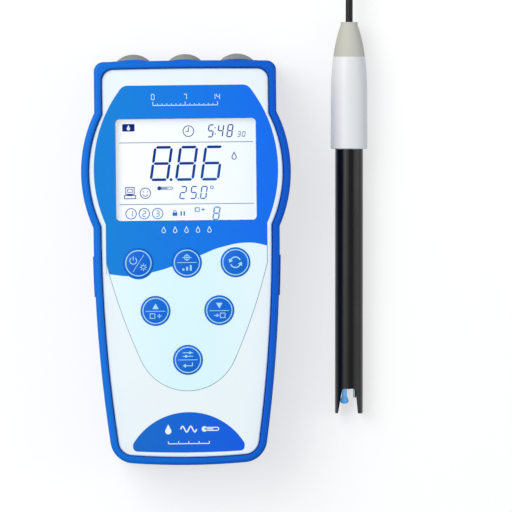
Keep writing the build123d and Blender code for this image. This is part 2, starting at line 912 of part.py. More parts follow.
def contact_leaf(x, end):
    """A bent leaf spring that meets a cell's flat end."""
    y = battery_y + end * (contact_end_y - contact_sheet / 2)
    tip = battery_y + end * (cell_length / 2 + slack / 2)
    rise = contact_width / 2
    flat = leaf_flat / 2
    low_z, high_z = cell_z - rise + contact_sheet, cell_z + rise
    points = [(y, low_z), (tip, cell_z - flat), (tip, cell_z + flat), (y, high_z)]
    back = [(py + end * contact_sheet, pz) for py, pz in points]
    strip = make_face(Polyline(*points, *reversed(back), close=True))
    plane = Plane(origin=(x - leaf_width / 2, 0, 0), x_dir=(0, 1, 0), z_dir=(1, 0, 0))
    return extrude(plane * strip, amount=leaf_width)


def battery_contacts():
    """Contact sheets at both ends of the box, wired so that the cells are in series."""
    pitch = cell_pitch
    sheets = [
        contact_plate(-pitch, -pitch, 1) + contact_bump(-pitch, 1),
        contact_plate(0, pitch, 1) + contact_leaf(0, 1) + contact_bump(pitch, 1),
        contact_plate(-pitch, 0, -1) + contact_leaf(-pitch, -1) + contact_bump(0, -1),
        contact_plate(pitch, pitch, -1) + contact_leaf(pitch, -1),
    ]
    for number, (x, y) in ((0, contact_tab_a), (3, contact_tab_b)):
        half = contact_tab_half_width
        sheets[number] += block(
            (x - half, x + half), (y - contact_sheet / 2, y + contact_sheet / 2), (cell_z, board_z)
        )
    return Compound(sheets)


def connector_block():
    """Carrier of the three sockets, with a round well for each that opens at the top end."""
    half = port_pitch + port_collar_radius
    front_y = y_top - wall - top_crown
    body = block(
        (-half, half),
        (port_back_y, front_y),
        (port_height - port_collar_radius, port_height + port_collar_radius),
    )
    for x in port_xs:
        body += rod_y(port_collar_radius, front_y, y_top, x, port_height)
    for x in port_xs:
        body -= rod_y(port_well_radius, well_floor_y, y_top, x, port_height)
        body -= rod_y(port_thread_radius + slack / 2, port_back_y, well_floor_y, x, port_height)
    return body


flange_y = well_floor_y + port_seal_thickness
barrel_y = flange_y + port_flange_thickness
thread_y = flange_y - port_thread_length


def socket_shell(x, barrel_radius, barrel_wall, barrel_length):
    """Turned metal socket: thread, flange and barrel."""
    bore = barrel_radius - barrel_wall
    points = [
        (contact_neck_radius, thread_y),
        (port_thread_radius, thread_y),
        (port_thread_radius, flange_y),
        (port_flange_radius, flange_y),
        (port_flange_radius, barrel_y),
        (barrel_radius, barrel_y),
        (barrel_radius, barrel_y + barrel_length),
        (bore, barrel_y + barrel_length),
        (bore, barrel_y),
        (contact_neck_radius, barrel_y),
    ]
    return turned(points, x, port_height)


def electrode_socket():
    """Bayonet socket with its two lugs."""
    x = port_xs[0]
    body = socket_shell(x, electrode_barrel_radius, electrode_barrel_wall, electrode_barrel_length)
    lug_y = barrel_y + electrode_barrel_length - lug_setback
    for side in (-1, 1):
        reach = electrode_barrel_radius + lug_height
        start = electrode_barrel_radius - electrode_barrel_wall / 2
        lug_z = port_height + side * (reach + start) / 2
        body += Pos(x, lug_y, lug_z) * Cylinder(lug_radius, reach - start)
    return body


def socket_insulator(x, core_radius, bore_radius, barrel_inner, length):
    """Insulator that fills the socket's thread and carries its contact."""
    points = [
        (bore_radius, thread_y),
        (contact_neck_radius - screw_fit, thread_y),
        (contact_neck_radius - screw_fit, barrel_y),
        (barrel_inner - screw_fit, barrel_y),
        (barrel_inner - screw_fit, barrel_y + insulator_base),
        (core_radius, barrel_y + insulator_base),
        (core_radius, barrel_y + length),
        (bore_radius, barrel_y + length),
    ]
    return turned(points, x, port_height)


def socket_contact():
    """Centre contact of the electrode socket."""
    end_y = barrel_y + electrode_barrel_length - contact_recess
    return rod_y(contact_radius, thread_y - contact_tail, end_y, port_xs[0], port_height)


def temperature_socket():
    """Round socket for a temperature probe."""
    return socket_shell(
        port_xs[1], temperature_barrel_radius, temperature_barrel_wall, temperature_barrel_length
    )


def data_insert():
    """Plastic insert that carries the data socket's shell."""
    x = port_xs[2]
    body = rod_y(port_thread_radius, thread_y, flange_y, x, port_height)
    body += rod_y(port_flange_radius, flange_y, barrel_y, x, port_height)
    body += rod_y(data_boss_radius, barrel_y, barrel_y + data_boss_length, x, port_height)
    return body - data_box(screw_fit, flange_y, barrel_y + data_boss_length)


def data_box(grow, start, end):
    """The data shell's rectangle between two places along Y."""
    half_width = data_shell_width / 2 + grow
    half_height = data_shell_height / 2 + grow
    x = port_xs[2]
    sides = (x - half_width, x + half_width)
    return block(sides, (start, end), (port_height - half_height, port_height + half_height))


def data_socket():
    """Folded metal shell with its contact tongue."""
    body = data_box(0, flange_y, barrel_y + data_shell_length)
    body -= data_box(-data_shell_wall, flange_y + data_shell_back, barrel_y + data_shell_length)
    tongue_end = barrel_y + data_shell_length - data_tongue_recess
    return body + data_box(-data_shell_height / 2 + data_tongue_half, flange_y, tongue_end)


def socket_nuts():
    """Hexagon nuts behind the connector block."""
    nuts = []
    for x in port_xs:
        hexagon = RegularPolygon(nut_half_flat / cos(pi / 6), 6, rotation=30)
        plane = Plane(origin=(x, port_back_y, port_height), x_dir=(1, 0, 0), z_dir=(0, -1, 0))
        nut = extrude(plane * (hexagon - Circle(port_thread_radius + screw_fit)), amount=nut_thickness)
        nuts.append(nut)
    return Compound(nuts)


def socket_seals():
    """Flat rubber rings under the socket flanges."""
    rings = []
    for x in port_xs:
        ring = rod_y(port_flange_radius - slack, well_floor_y, flange_y, x, port_height)
        ring -= rod_y(port_thread_radius + slack, well_floor_y, flange_y, x, port_height)
        rings.append(ring)
    return Compound(rings)


def socket_leads():
    """Leads from the sockets' rear ends up to the board."""
    leads = []
    for x in port_xs:
        start_y = thread_y - (contact_tail if x == port_xs[0] else 0)
        board_y = y_top - board_top_drop - lead_board_reach
        corners = [(x, start_y, port_height), (x, board_y, port_height), (x, board_y, board_z)]
        path = FilletPolyline(*corners, radius=lead_bend)
        section = Plane(origin=(x, start_y, port_height), z_dir=(0, -1, 0)) * Circle(lead_radius)
        leads.append(sweep(section, path))
    return Compound(leads)


def dust_cap(x):
    """Rubber cap over a socket: a skirt in the well and a dome that stands out of the case."""
    radius = port_well_radius - cap_gap
    peak = y_top + cap_proud
    start = barrel_y + cap_flange_gap
    outer = rod_y(radius, start, peak, x, port_height)
    outer &= Pos(x, peak - cap_dome_radius, port_height) * Sphere(cap_dome_radius) + rod_y(
        radius, start, peak - cap_dome_radius, x, port_height
    )
    return outer - rod_y(radius - cap_wall, start, peak - cap_crown, x, port_height)


def tilt_stand():
    """Fold-out stand: a tapered plate with a hinge barrel and two finger grooves at its tip."""
    z_low = stand_recess
    barrel_half = stand_pocket_half_width - stand_side_gap
    tip_y = hinge_y - stand_length
    plan = make_face(
        Polyline(
            (-stand_half_width, hinge_y),
            (stand_half_width, hinge_y),
            (stand_tip_half_width, tip_y),
            (-stand_tip_half_width, tip_y),
            close=True,
        )
    )
    plan = fillet(plan.vertices().group_by(Axis.Y)[0], stand_tip_corner)
    body = slab(plan, z_low, z_low + stand_thickness)
    grip_x = (-stand_grip_half_width, stand_grip_half_width)
    for number in range(2):
        y = tip_y + stand_grip_margin + number * stand_grip_pitch
        body -= block(grip_x, (y, y + stand_grip_width), (z_low, z_low + stand_grip_depth))
    bar = Rot(0, 90, 0) * Cylinder(stand_barrel_radius, 2 * barrel_half)
    body += Pos(0, hinge_y, hinge_z) * bar
    bore = Rot(0, 90, 0) * Cylinder(stand_pin_radius + stand_pin_fit, 2 * barrel_half)
    return body - Pos(0, hinge_y, hinge_z) * bore


def stand_pin():
    """Steel pin of the stand's hinge."""
    half = stand_pocket_half_width + pan_wall - slack
    return Pos(0, hinge_y, hinge_z) * Rot(0, 90, 0) * Cylinder(stand_pin_radius, 2 * half)


# The electrode lies on its handle's lower edge and its prong tips
electrode_tilt = degrees(atan((handle_radius - shaft_radius) / shaft_exposed))
electrode_place = (
    Pos(electrode_tip_x, electrode_tip_y, shaft_radius * cos(radians(electrode_tilt)))
    * Rot(0, 0, electrode_yaw)
    * Rot(electrode_tilt, 0, 0)
)


shaft_top = shaft_exposed + shaft_in_handle
top_seal_height = shaft_top - top_seal_drop - top_seal_length


def electrode_body():
    """Tube with the forked guard at its end."""
    body = rod_y(shaft_radius, 0, shaft_top)
    body = fillet(body.faces().sort_by(Axis.Y)[0].edges(), prong_round)
    body -= rod_y(shaft_bore_radius, 0, shaft_top)
    notch = make_face(
        Polyline(
            (-shaft_radius, -shaft_radius),
            (shaft_radius, -shaft_radius),
            (shaft_radius, 0),
            (guard_half_width + guard_flare_right, 0),
            (guard_half_width, guard_depth),
            (-guard_half_width, guard_depth),
            (-guard_half_width - guard_flare_left, 0),
            (-shaft_radius, 0),
            close=True,
        )
    )
    notch = fillet(notch.vertices().group_by(Axis.Y)[-1], guard_corner)
    tips = notch.vertices().group_by(Axis.Y)[1].sort_by(Axis.X)[1:-1]
    notch = fillet(tips, prong_round)
    return body - slab(notch, -2 * shaft_radius, 2 * shaft_radius)


def end_seal():
    """Seal that closes the tube above the guard and holds the glass and the sensors."""
    start = guard_depth
    body = rod_y(shaft_bore_radius - glue_gap, start, start + end_seal_length)
    body -= rod_y(stem_radius + glue_gap, start, start + end_seal_length, glass_offset)
    body -= rod_y(sensor_radius + glue_gap, start, start + end_seal_length, sensor_offset)
    body -= rod_y(junction_radius + glue_gap, start, start + end_seal_length, 0, junction_offset)
    return body


def ph_glass():
    """Glass stem that flares into a bell-shaped bulb, hollow inside."""
    return Pos(glass_offset, 0, 0) * (bell(0) - bell(bulb_wall))


def bell(wall_inset):
    """The glass filled solid, drawn in by wall_inset."""
    end = bulb_height + stem_length
    tip = (0, bulb_tip + wall_inset)
    belly = (bulb_radius - wall_inset, bulb_height)
    neck = (bulb_neck_radius - wall_inset, bulb_neck_height)
    stem = (stem_radius - wall_inset, bulb_neck_height + bulb_wall)
    outline = [
        Spline(tip, belly, neck, tangents=((1, 0), (-0.25, 1))),
        Polyline(neck, stem, (stem[0], end), (0, end), tip),
    ]
    return revolve(make_face(outline), Axis.Y, 360)


def top_seal():
    """Seal that closes the tube inside the handle."""
    return rod_y(shaft_bore_radius - glue_gap, top_seal_height, top_seal_height + top_seal_length)


def bowed(start, end, rise):
    """An arc between two points of a turned outline that bows outwards by a rise."""
    middle = ((start[0] + end[0]) / 2 + rise, (start[1] + end[1]) / 2)
    return ThreePointArc(start, middle, end)


def electrode_handle():
    """Hollow handle that takes the tube from below and the strain relief from above."""
    start = shaft_exposed
    end = start + handle_length
    shoulder = end - handle_shoulder_drop
    lip = boot_spigot_radius + glue_gap
    bore = shaft_radius + glue_gap
    foot_edge = (handle_radius - handle_edge, start)
    foot_side = (handle_radius, start + handle_edge)
    shoulder_end = (handle_shoulder_radius, shoulder)
    top_end = (handle_top_radius, end)
    outline = [
        Polyline((bore, start), foot_edge, foot_side, shoulder_end),
        bowed(shoulder_end, top_end, handle_shoulder_bow),
        Polyline(top_end, (lip, end), (lip, shaft_top + handle_ledge), (bore, shaft_top), (bore, start)),
    ]
    return revolve(make_face(outline), Axis.Y, 360)


def strain_relief():
    """Rubber boot: a bowed cone that narrows to a short neck round the cable."""
    start = shaft_exposed + handle_length
    end = start + boot_length
    neck = end - boot_neck_length
    spigot = start - boot_spigot_length
    foot_edge = (handle_top_radius, start)
    neck_edge = (boot_tip_radius + boot_neck_flare, neck)
    axis_foot = (0, spigot)
    outline = [
        Polyline(axis_foot, (boot_spigot_radius, spigot), (boot_spigot_radius, start), foot_edge),
        bowed(foot_edge, neck_edge, boot_side_bow),
        Polyline(neck_edge, (boot_tip_radius, end), (0, end), axis_foot),
    ]
    return revolve(make_face(outline), Axis.Y, 360)


def along_electrode(distance):
    """The point on the electrode's axis at a distance from its prong tips."""
    return (electrode_place * Pos(0, distance, 0)).position


def cable_tube(points):
    """Cable solid along straight runs joined by the largest arcs that the runs allow."""
    vectors = [Vector(*point) for point in points]
    runs = [b - a for a, b in zip(vectors, vectors[1:])]
    radii = []
    for before, after in zip(runs, runs[1:]):
        turn = radians(before.get_angle(after))
        radii.append(arc_share * min(before.length, after.length) / tan(turn / 2))
    path = FilletPolyline(*vectors, radius=radii)
    section = Plane(origin=vectors[0], z_dir=runs[0]) * Circle(cable_radius)
    tube = sweep(section, path)
    share = tube.volume / (pi * cable_radius**2 * path.length)
    print("cable radii", [round(radius, 1) for radius in radii], "length", round(path.length, 1))
    print("volume against section times length", round(share, 4))
    return tube


cable_exit = along_electrode(shaft_exposed + handle_length + boot_length)
coil_outer_turn = coil_mean_radius + (coil_turns_wide - 1) * cable_radius
coil_last_turn = coil_mean_radius + cable_radius

# The cable leaves the boot, comes down to the table and runs into the coil
lead_points = [
    tuple(cable_exit),
    tuple(along_electrode(shaft_exposed + handle_length + boot_length + lead_straight)),
    (69.9, 128.2, 5.4),
    (70.6, 141.2, 2.0),
    (71.0, 153.6, cable_radius),
    (coil_x + coil_outer_turn, coil_y, cable_radius),
]

# The last turn comes off the top of the coil and runs level to the plug
tail_points = [
    (coil_x, coil_y + coil_last_turn, 7.1),
    (43.2, 184.9, 7.6),
    (35.4, 185.3, 7.3),
    (27.6, 185.2, 6.0),
    (20.2, 184.8, 5.6),
    (plug_x + tail_straight, plug_y, ring_radius),
    (plug_x, plug_y, ring_radius),
]


def cable_coil():
    """Outer shape of the coil of cable."""
    half = coil_turns_wide * cable_radius
    ring = rod(coil_mean_radius + half, 0, coil_height) - rod(coil_mean_radius - half, 0, coil_height)
    ring = fillet(ring.edges(), coil_round)
    return Pos(coil_x, coil_y, 0) * ring


# The plug's own axis runs along +Y from its boot to its nose
plug_place = Pos(plug_x, plug_y, ring_radius) * Rot(0, 0, 90)
ring_start = plug_boot_length + plug_body_length
ring_end = ring_start + ring_length


def plug_boot():
    """Ribbed strain relief of the plug."""
    points = [(0, 0), (boot_radius, 0), (boot_radius + boot_flare, plug_boot_length)]
    body = turned(points + [(0, plug_boot_length)])
    for number in range(boot_grooves):
        y = boot_groove_start + boot_groove_pitch * number
        floor_radius = boot_radius + boot_flare * y / plug_boot_length - boot_groove_depth
        end = y + boot_groove_width
        body -= rod_y(2 * boot_radius, y, end) - rod_y(floor_radius, y, end)
    return body


def plug_body():
    """Metal body of the plug, with a hexagon end and the spigot that carries the ring."""
    start = plug_boot_length
    neck = ring_start - plug_neck_length
    spigot = ring_bore_radius - ring_lip
    nose = ring_end - plug_nose_recess
    floor = ring_start + plug_floor
    points = [
        (0, start),
        (plug_body_radius - plug_body_edge, start),
        (plug_body_radius, start + plug_body_edge),
        (plug_body_radius, neck),
        (spigot, neck),
        (spigot, ring_start + plug_spigot_reach),
        (plug_sleeve_radius, ring_start + plug_spigot_reach),
        (plug_sleeve_radius, nose),
        (plug_sleeve_bore, nose),
        (plug_sleeve_bore, floor),
        (0, floor),
    ]
    return turned(points)


def plug_insulator():
    """Insulator round the plug's pin."""
    start = ring_start + plug_floor
    end = start + plug_insulator_length
    return rod_y(plug_insulator_radius, start, end) - rod_y(plug_pin_radius + glue_gap, start, end)


def plug_pin():
    """Centre pin of the plug."""
    body = rod_y(plug_pin_radius, ring_start + plug_floor, ring_end - plug_pin_recess)
    return fillet(body.faces().sort_by(Axis.Y)[-1].edges(), plug_pin_radius / 2)


def plug_ring():
    """Fluted coupling ring with its two bayonet slots."""
    inner_lip = ring_bore_radius - ring_lip + ring_fit
    grip_end = ring_end - ring_grip_setback
    nose_radius = ring_radius - ring_step
    points = [
        (inner_lip, ring_start),
        (ring_radius - ring_edge, ring_start),
        (ring_radius, ring_start + ring_edge),
        (ring_radius, grip_end - ring_step_taper),
        (nose_radius, grip_end),
        (nose_radius, ring_end),
        (ring_bore_radius, ring_end),
        (ring_bore_radius, ring_start + ring_lip_thickness),
        (inner_lip, ring_start + ring_lip_thickness),
    ]
    body = turned(points)
    for number in range(ring_flutes):
        angle = 360 / ring_flutes * (number + 0.5)
        body -= Rot(0, angle, 0) * rod_y(flute_radius, ring_start, grip_end, ring_radius)
    half = ring_slot_half_width
    slot_end = ring_end - ring_slot_length
    side_slot_end = slot_end - ring_side_slot_width
    for angle in (90, 270):
        slot = block((-half, half), (slot_end, ring_end + half), (0, 2 * ring_radius))
        side_slot = block((-half, ring_side_slot_reach), (side_slot_end, slot_end), (0, 2 * ring_radius))
        body -= Rot(0, angle, 0) * (slot + side_slot)
    return body


def electrode_wires():
    """Silver wires of the electrode: the inner one in the glass and the reference beside it."""
    inner = rod_y(wire_radius, bulb_height, top_seal_height, glass_offset)
    reference = rod_y(wire_radius, wire_tip, top_seal_height, wire_offset)
    return Compound([inner, reference])


parts = {
    "rear_shell": rear_shell(),
    "front_shell": front_shell(),
    "case_gasket": gasket_ring(screw_fit),
    "case_screws": case_screw_set(),
    "face_plate": face_plate(),
    "overlay_film": overlay_film(),
    "lower_inlay": slab(inlay_face(), film_z, film_z + film_thickness),
    "display_window": slab(display_face(window_lap), window_z, window_top_z),
    "display_panel": slab(display_face(display_panel_lap), display_panel_z, display_panel_top_z),
    "display_frame": display_frame(),
    "backlight_panel": backlight_panel(),
    "contact_strips": contact_strips(),
    "main_board": main_board(),
    "board_chips": board_chips(),
    "board_screws": board_screw_set(),
    "keypad_mat": keypad_mat(),
    "battery_cover": battery_cover(),
    "battery_cover_gasket": battery_cover_gasket(),
    "battery_cover_screws": battery_cover_screws(),
    "aa_cells": aa_cells(),
    "battery_contacts": battery_contacts(),
    "connector_block": connector_block(),
    "electrode_socket": electrode_socket(),
    "electrode_socket_insulator": socket_insulator(
        port_xs[0], electrode_core_radius, contact_radius + contact_fit,
        electrode_barrel_radius - electrode_barrel_wall,
        electrode_barrel_length - electrode_core_recess,
    ),
    "electrode_socket_contact": socket_contact(),
    "temperature_socket": temperature_socket(),
    "temperature_socket_insulator": socket_insulator(
        port_xs[1], temperature_barrel_radius - 2 * temperature_barrel_wall, temperature_bore_radius,
        temperature_barrel_radius - temperature_barrel_wall,
        temperature_barrel_length - temperature_core_recess,
    ),
    "data_socket_insert": data_insert(),
    "data_socket": data_socket(),
    "socket_nuts": socket_nuts(),
    "socket_seals": socket_seals(),
    "socket_leads": socket_leads(),
    "dust_cap_left": dust_cap(port_xs[0]),
    "dust_cap_middle": dust_cap(port_xs[1]),
    "dust_cap_right": dust_cap(port_xs[2]),
    "tilt_stand": tilt_stand(),
    "stand_pin": stand_pin(),
    "electrode_body": electrode_place * electrode_body(),
    "electrode_handle": electrode_place * electrode_handle(),
    "strain_relief": electrode_place * strain_relief(),
    "end_seal": electrode_place * end_seal(),
    "ph_glass": electrode_place * ph_glass(),
    "electrode_wires": electrode_place * electrode_wires(),
    "temperature_sensor": electrode_place
    * rod_y(sensor_radius, sensor_tip, sensor_tip + sensor_length, sensor_offset),
    "reference_junction": electrode_place
    * rod_y(junction_radius, guard_depth - junction_proud, guard_depth + end_seal_length, 0, junction_offset),
    "top_seal": electrode_place * top_seal(),
    "cable_lead": cable_tube(lead_points),
    "cable_coil": cable_coil(),
    "cable_tail": cable_tube(tail_points),
    "plug_boot": plug_place * plug_boot(),
    "plug_body": plug_place * plug_body(),
    "plug_insulator": plug_place * plug_insulator(),
    "plug_pin": plug_place * plug_pin(),
    "plug_ring": plug_place * plug_ring(),
}
for name, (x, y) in keys.items():
    parts[name] = key(x, y)

os.makedirs("parts", exist_ok=True)
for name, shape in parts.items():
    export_step(shape, f"parts/{name}.step")
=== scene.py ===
from math import atan2, ceil, cos, hypot, pi, radians, sin, tan

import bmesh
import bpy
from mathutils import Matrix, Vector


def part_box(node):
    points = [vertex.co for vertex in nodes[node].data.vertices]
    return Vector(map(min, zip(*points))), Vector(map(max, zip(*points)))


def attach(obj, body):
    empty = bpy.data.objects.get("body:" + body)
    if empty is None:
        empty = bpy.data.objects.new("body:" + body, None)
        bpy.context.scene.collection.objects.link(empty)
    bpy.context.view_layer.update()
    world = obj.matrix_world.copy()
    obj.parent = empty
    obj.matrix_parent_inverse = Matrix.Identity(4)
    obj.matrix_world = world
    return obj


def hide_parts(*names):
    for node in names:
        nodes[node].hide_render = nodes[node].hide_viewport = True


# The looks of the pH meter, its electrode and its cable, on a pale studio floor.
# X is to the right across the face, Y towards the sockets and Z up from the floor, in metres.
# The cable's route and the flat prints on the face and the keys are drawn in millimetres, and MM
# turns them into metres. Angles are given in degrees.
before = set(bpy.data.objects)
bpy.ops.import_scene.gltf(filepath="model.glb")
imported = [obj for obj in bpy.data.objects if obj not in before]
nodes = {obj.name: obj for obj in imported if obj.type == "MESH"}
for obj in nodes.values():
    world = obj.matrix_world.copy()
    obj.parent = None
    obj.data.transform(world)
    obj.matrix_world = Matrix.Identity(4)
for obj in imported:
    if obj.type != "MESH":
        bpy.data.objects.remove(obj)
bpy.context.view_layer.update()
scene = bpy.context.scene
scene.view_settings.view_transform = "Standard"
MM = 0.001


def srgb(red, green, blue):
    """A colour given by its 0 to 255 screen values, as linear light."""
    shares = [value / 255 for value in (red, green, blue)]
    linear = [s / 12.92 if s <= 0.04045 else ((s + 0.055) / 1.055) ** 2.4 for s in shares]
    return (*linear, 1.0)


def scaled(colour, factor):
    """A colour made lighter or darker by a factor."""
    return [min(1.0, value * factor) for value in colour[:3]] + [1.0]


def new_object(name, data):
    """An object of that data, linked into the scene."""
    made = bpy.data.objects.new(name, data)
    scene.collection.objects.link(made)
    return made


# Camera straight above the face, turned a little as in the photograph
case_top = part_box("front_shell")[1].z
camera_rise = 6.0
camera_clip = (0.1, 20.0)
view_width = 0.21504
view_centre = (0.02905, 0.00252)
view_turn = -0.62
sensor_width = 36.0


def make_camera():
    """The camera, far enough away that the view is almost without perspective."""
    data = bpy.data.cameras.new("camera")
    data.sensor_width = sensor_width
    data.lens = sensor_width * camera_rise / view_width
    data.clip_start, data.clip_end = camera_clip
    camera = new_object("camera", data)
    camera.location = (*view_centre, case_top + camera_rise)
    camera.rotation_euler = (0, 0, radians(view_turn))
    scene.camera = camera


make_camera()

# Cable: from the electrode's strain relief to a coil outside the view, and on to the plug.
# Its route is in millimetres and its real length in metres.
cable_radius = 1.5
cable_diameter = 2 * cable_radius
cable_exit = (69.402, 100.766, 8.648)
lead_points = [
    cable_exit,
    (69.557, 114.263, 8.874),
    (69.9, 128.2, 5.4),
    (70.6, 141.2, 2.0),
    (71.0, 153.6, 1.5),
]
tail_points = [
    (43.2, 184.9, 7.6),
    (35.4, 185.3, 7.3),
    (27.6, 185.2, 6.0),
    (20.2, 184.8, 5.6),
    (13.8, 184.2, 7.25),
    (7.0, 184.2, 7.25),
]

# Coil: two layers of three turns, and two turns in the grooves on top, on the tie's lower side
tie_thickness = 0.3
coil_centre = (50.2, 166.0)
coil_inner_radius = 14.3
groove_height = 7.1
coil_layers = {
    1: cable_radius + tie_thickness,
    2: cable_radius + cable_diameter + tie_thickness,
    3: groove_height + tie_thickness,
}
coil_turns = [
    (coil_inner_radius + steps_out * cable_diameter, layer)
    for steps_out, layer in ((2, 1), (1, 1), (0, 1), (0, 2), (1, 2), (2, 2), (0.5, 3), (1.5, 3))
]
coil_points_per_turn = 16


def coil_points():
    """The coil's turns and a last quarter turn. Each turn drifts to the next in its second half."""
    stations = [(radius, coil_layers[layer]) for radius, layer in coil_turns]
    steps = coil_points_per_turn * len(coil_turns) + coil_points_per_turn // 4
    points = []
    for step in range(steps + 1):
        turn = step / coil_points_per_turn
        angle = 2 * pi * turn
        number = min(int(turn), len(stations) - 1)
        after = min(number + 1, len(stations) - 1)
        drift = max(0.0, (turn - number) * 2 - 1)
        share = drift * drift * (3 - 2 * drift)
        radius = stations[number][0] + (stations[after][0] - stations[number][0]) * share
        height = stations[number][1] + (stations[after][1] - stations[number][1]) * share
        points.append(
            (coil_centre[0] + radius * cos(angle), coil_centre[1] + radius * sin(angle), height)
        )
    return points


def make_cable():
    """The whole cable as one smooth round curve, as thick as the radius of its points says."""
    data = bpy.data.curves.new("cable", "CURVE")
    data.dimensions = "3D"
    data.bevel_depth = 1.0
    data.bevel_resolution = 5
    data.resolution_u = 6
    data.use_fill_caps = True
    route = lead_points + coil_points() + tail_points
    spline = data.splines.new("NURBS")
    spline.points.add(len(route) - 1)
    for point, place in zip(spline.points, route):
        point.co = (*(value * MM for value in place), 1.0)
        point.radius = cable_radius * MM
    spline.order_u = 3
    spline.use_endpoint_u = True
    return new_object("cable", data)


cable = make_cable()
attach(cable, "electrode")
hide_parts("cable_lead", "cable_coil", "cable_tail")


class Look:
    """A procedural material: a principled shader and the nodes that feed it."""

    # A Mix node has its colour sockets after those of its other kinds
    mix_first, mix_second, mix_result = 6, 7, 2
    # Noise seldom leaves this range
    noise_low, noise_high = 0.3, 0.7
    # Gloss varies over patches that are this many grains across
    gloss_patch = 40

    def __init__(self, name, roughness, **sockets):
        self.material = bpy.data.materials.new(name)
        self.material.use_nodes = True
        self.tree = self.material.node_tree
        self.shader = self.tree.nodes["Principled BSDF"]
        self.shader.inputs["Roughness"].default_value = roughness
        for socket, value in sockets.items():
            self.shader.inputs[socket.replace("_", " ")].default_value = value
        self.place = self.node("ShaderNodeTexCoord", out="Object")

    def node(self, kind, *values, out=0, **settings):
        """Adds a node, fills its inputs in order and gives one of its outputs."""
        made = self.tree.nodes.new(kind)
        for setting, value in settings.items():
            setattr(made, setting, value)
        for socket, value in zip(made.inputs, values):
            self.feed(socket, value)
        return made.outputs[out]

    def feed(self, socket, value):
        """Links a socket to an output, or sets it to a value."""
        if isinstance(value, bpy.types.NodeSocket):
            self.tree.links.new(value, socket)
        elif value is not None:
            socket.default_value = value

    def math(self, operation, first, second=0.0):
        """One step of arithmetic."""
        return self.node("ShaderNodeMath", first, second, operation=operation)

    def axis(self, letter):
        """One coordinate of the surface point, in metres."""
        return self.node("ShaderNodeSeparateXYZ", self.place, out=letter)

    def ramp(self, value, low, high, to_low=0.0, to_high=1.0):
        """The value carried from one range to another, held at both ends."""
        return self.node("ShaderNodeMapRange", value, low, high, to_low, to_high)

    def noise(self, size, detail=2.0):
        """Soft noise with lumps of that size, in metres."""
        return self.node("ShaderNodeTexNoise", self.place, None, 1 / size, detail)

    def patches(self, size, low=0.0, high=1.0):
        """Soft patches of that size, from one value to another."""
        return self.ramp(self.noise(size), self.noise_low, self.noise_high, low, high)

    def mix(self, share, first, second):
        """A colour between two colours."""
        made = self.tree.nodes.new("ShaderNodeMix")
        made.data_type = "RGBA"
        self.feed(made.inputs[0], share)
        self.feed(made.inputs[self.mix_first], first)
        self.feed(made.inputs[self.mix_second], second)
        return made.outputs[self.mix_result]

    def across(self, span, left, right):
        """A colour that drifts along X from one colour to another, given by screen values."""
        return self.mix(self.ramp(self.axis("X"), *span), srgb(*left), srgb(*right))

    def shades(self, colour, spread, size):
        """A colour that drifts lighter and darker by a share, over patches of that size."""
        return self.mix(self.patches(size), scaled(colour, 1 - spread), scaled(colour, 1 + spread))

    def paint(self, colour):
        """Gives the shader its colour."""
        self.feed(self.shader.inputs["Base Color"], colour)

    def glow(self, colour, strength):
        """Gives the shader a light of its own."""
        self.feed(self.shader.inputs["Emission Color"], colour)
        self.shader.inputs["Emission Strength"].default_value = strength

    def grain(self, size, depth, spread=0.05):
        """A fine grain that tilts the surface and varies its gloss."""
        bump = self.tree.nodes.new("ShaderNodeBump")
        bump.inputs["Strength"].default_value = 1.0
        bump.inputs["Distance"].default_value = depth
        self.feed(bump.inputs["Height"], self.noise(size, 3.0))
        self.feed(self.shader.inputs["Normal"], bump.outputs[0])
        roughness = self.shader.inputs["Roughness"]
        middle = roughness.default_value
        self.feed(
            roughness, self.patches(self.gloss_patch * size, middle - spread, middle + spread)
        )


# Spans along X over which the colours drift from left to right, in metres. On the case, the film
# and the inlay this drift is painted shade, lighter towards the lamps at the upper left and deeper
# towards the right.
case_shade_span = (-0.04, 0.045)
film_shade_span = (-0.035, 0.035)
inlay_shade_span = (-0.02, 0.02)
display_span = (-0.028, 0.028)

# Grain of a printed film: its size and depth in metres, and the spread of its gloss
film_grain = (0.0006, 2e-6, 0.03)


def plain_look(
    name, colour, roughness, spread=0.04, patch=0.02, grain=0.0004, depth=4e-6, **sockets
):
    """A moulded or painted surface in one colour, with faint patches and a fine grain."""
    look = Look(name, roughness, **sockets)
    look.paint(look.shades(srgb(*colour), spread, patch))
    look.grain(grain, depth)
    return look.material


def case_look(name, left, right):
    """Blue moulded plastic with painted shade, deeper towards the right away from the lamps at the
    upper left, and a fine spark-eroded grain.
    """
    look = Look(name, 0.36, Specular_IOR_Level=0.12)
    # Painted shade: the blue deepens from left to right across the case.
    base = look.across(case_shade_span, left, right)
    look.paint(look.mix(look.patches(0.03, 0.0, 0.06), base, srgb(30, 136, 236)))
    look.grain(0.00035, 5e-6)
    return look.material


# Print on the face: a blue field above a wave, a pale field below it, whose shade drifts from
# the middle to both sides over pale_span. The wave is in millimetres, and so are the span and
# the range of heights that its curve is stored in.
# The blue field goes from lighter at the left to deeper at the right: that drift is painted shade,
# away from the lamps at the upper left.
blue_lit_left, blue_shaded_right = (6, 130, 217), (8, 110, 240)
pale_middle, pale_edge = srgb(221, 250, 255), srgb(232, 251, 255)
pale_span = (0.008, 0.032)
wave = [
    (-34.0, -4.4), (-32.1, -4.6), (-23.7, -5.4), (-14.7, -3.9), (-5.0, -1.1),
    (6.5, 3.4), (14.9, 6.5), (25.9, 8.2), (33.6, 6.9), (34.5, 6.6),
]
wave_span = (-34.5, 34.5)
wave_rise = (-8.0, 10.0)

# Blue collar round the power key, whose flange reaches that far past its top, in millimetres
collar_width = 0.6
key_flange_lap = 1.0

# Half the width of the change between two printed colours, in metres
print_blur = 0.04 * MM


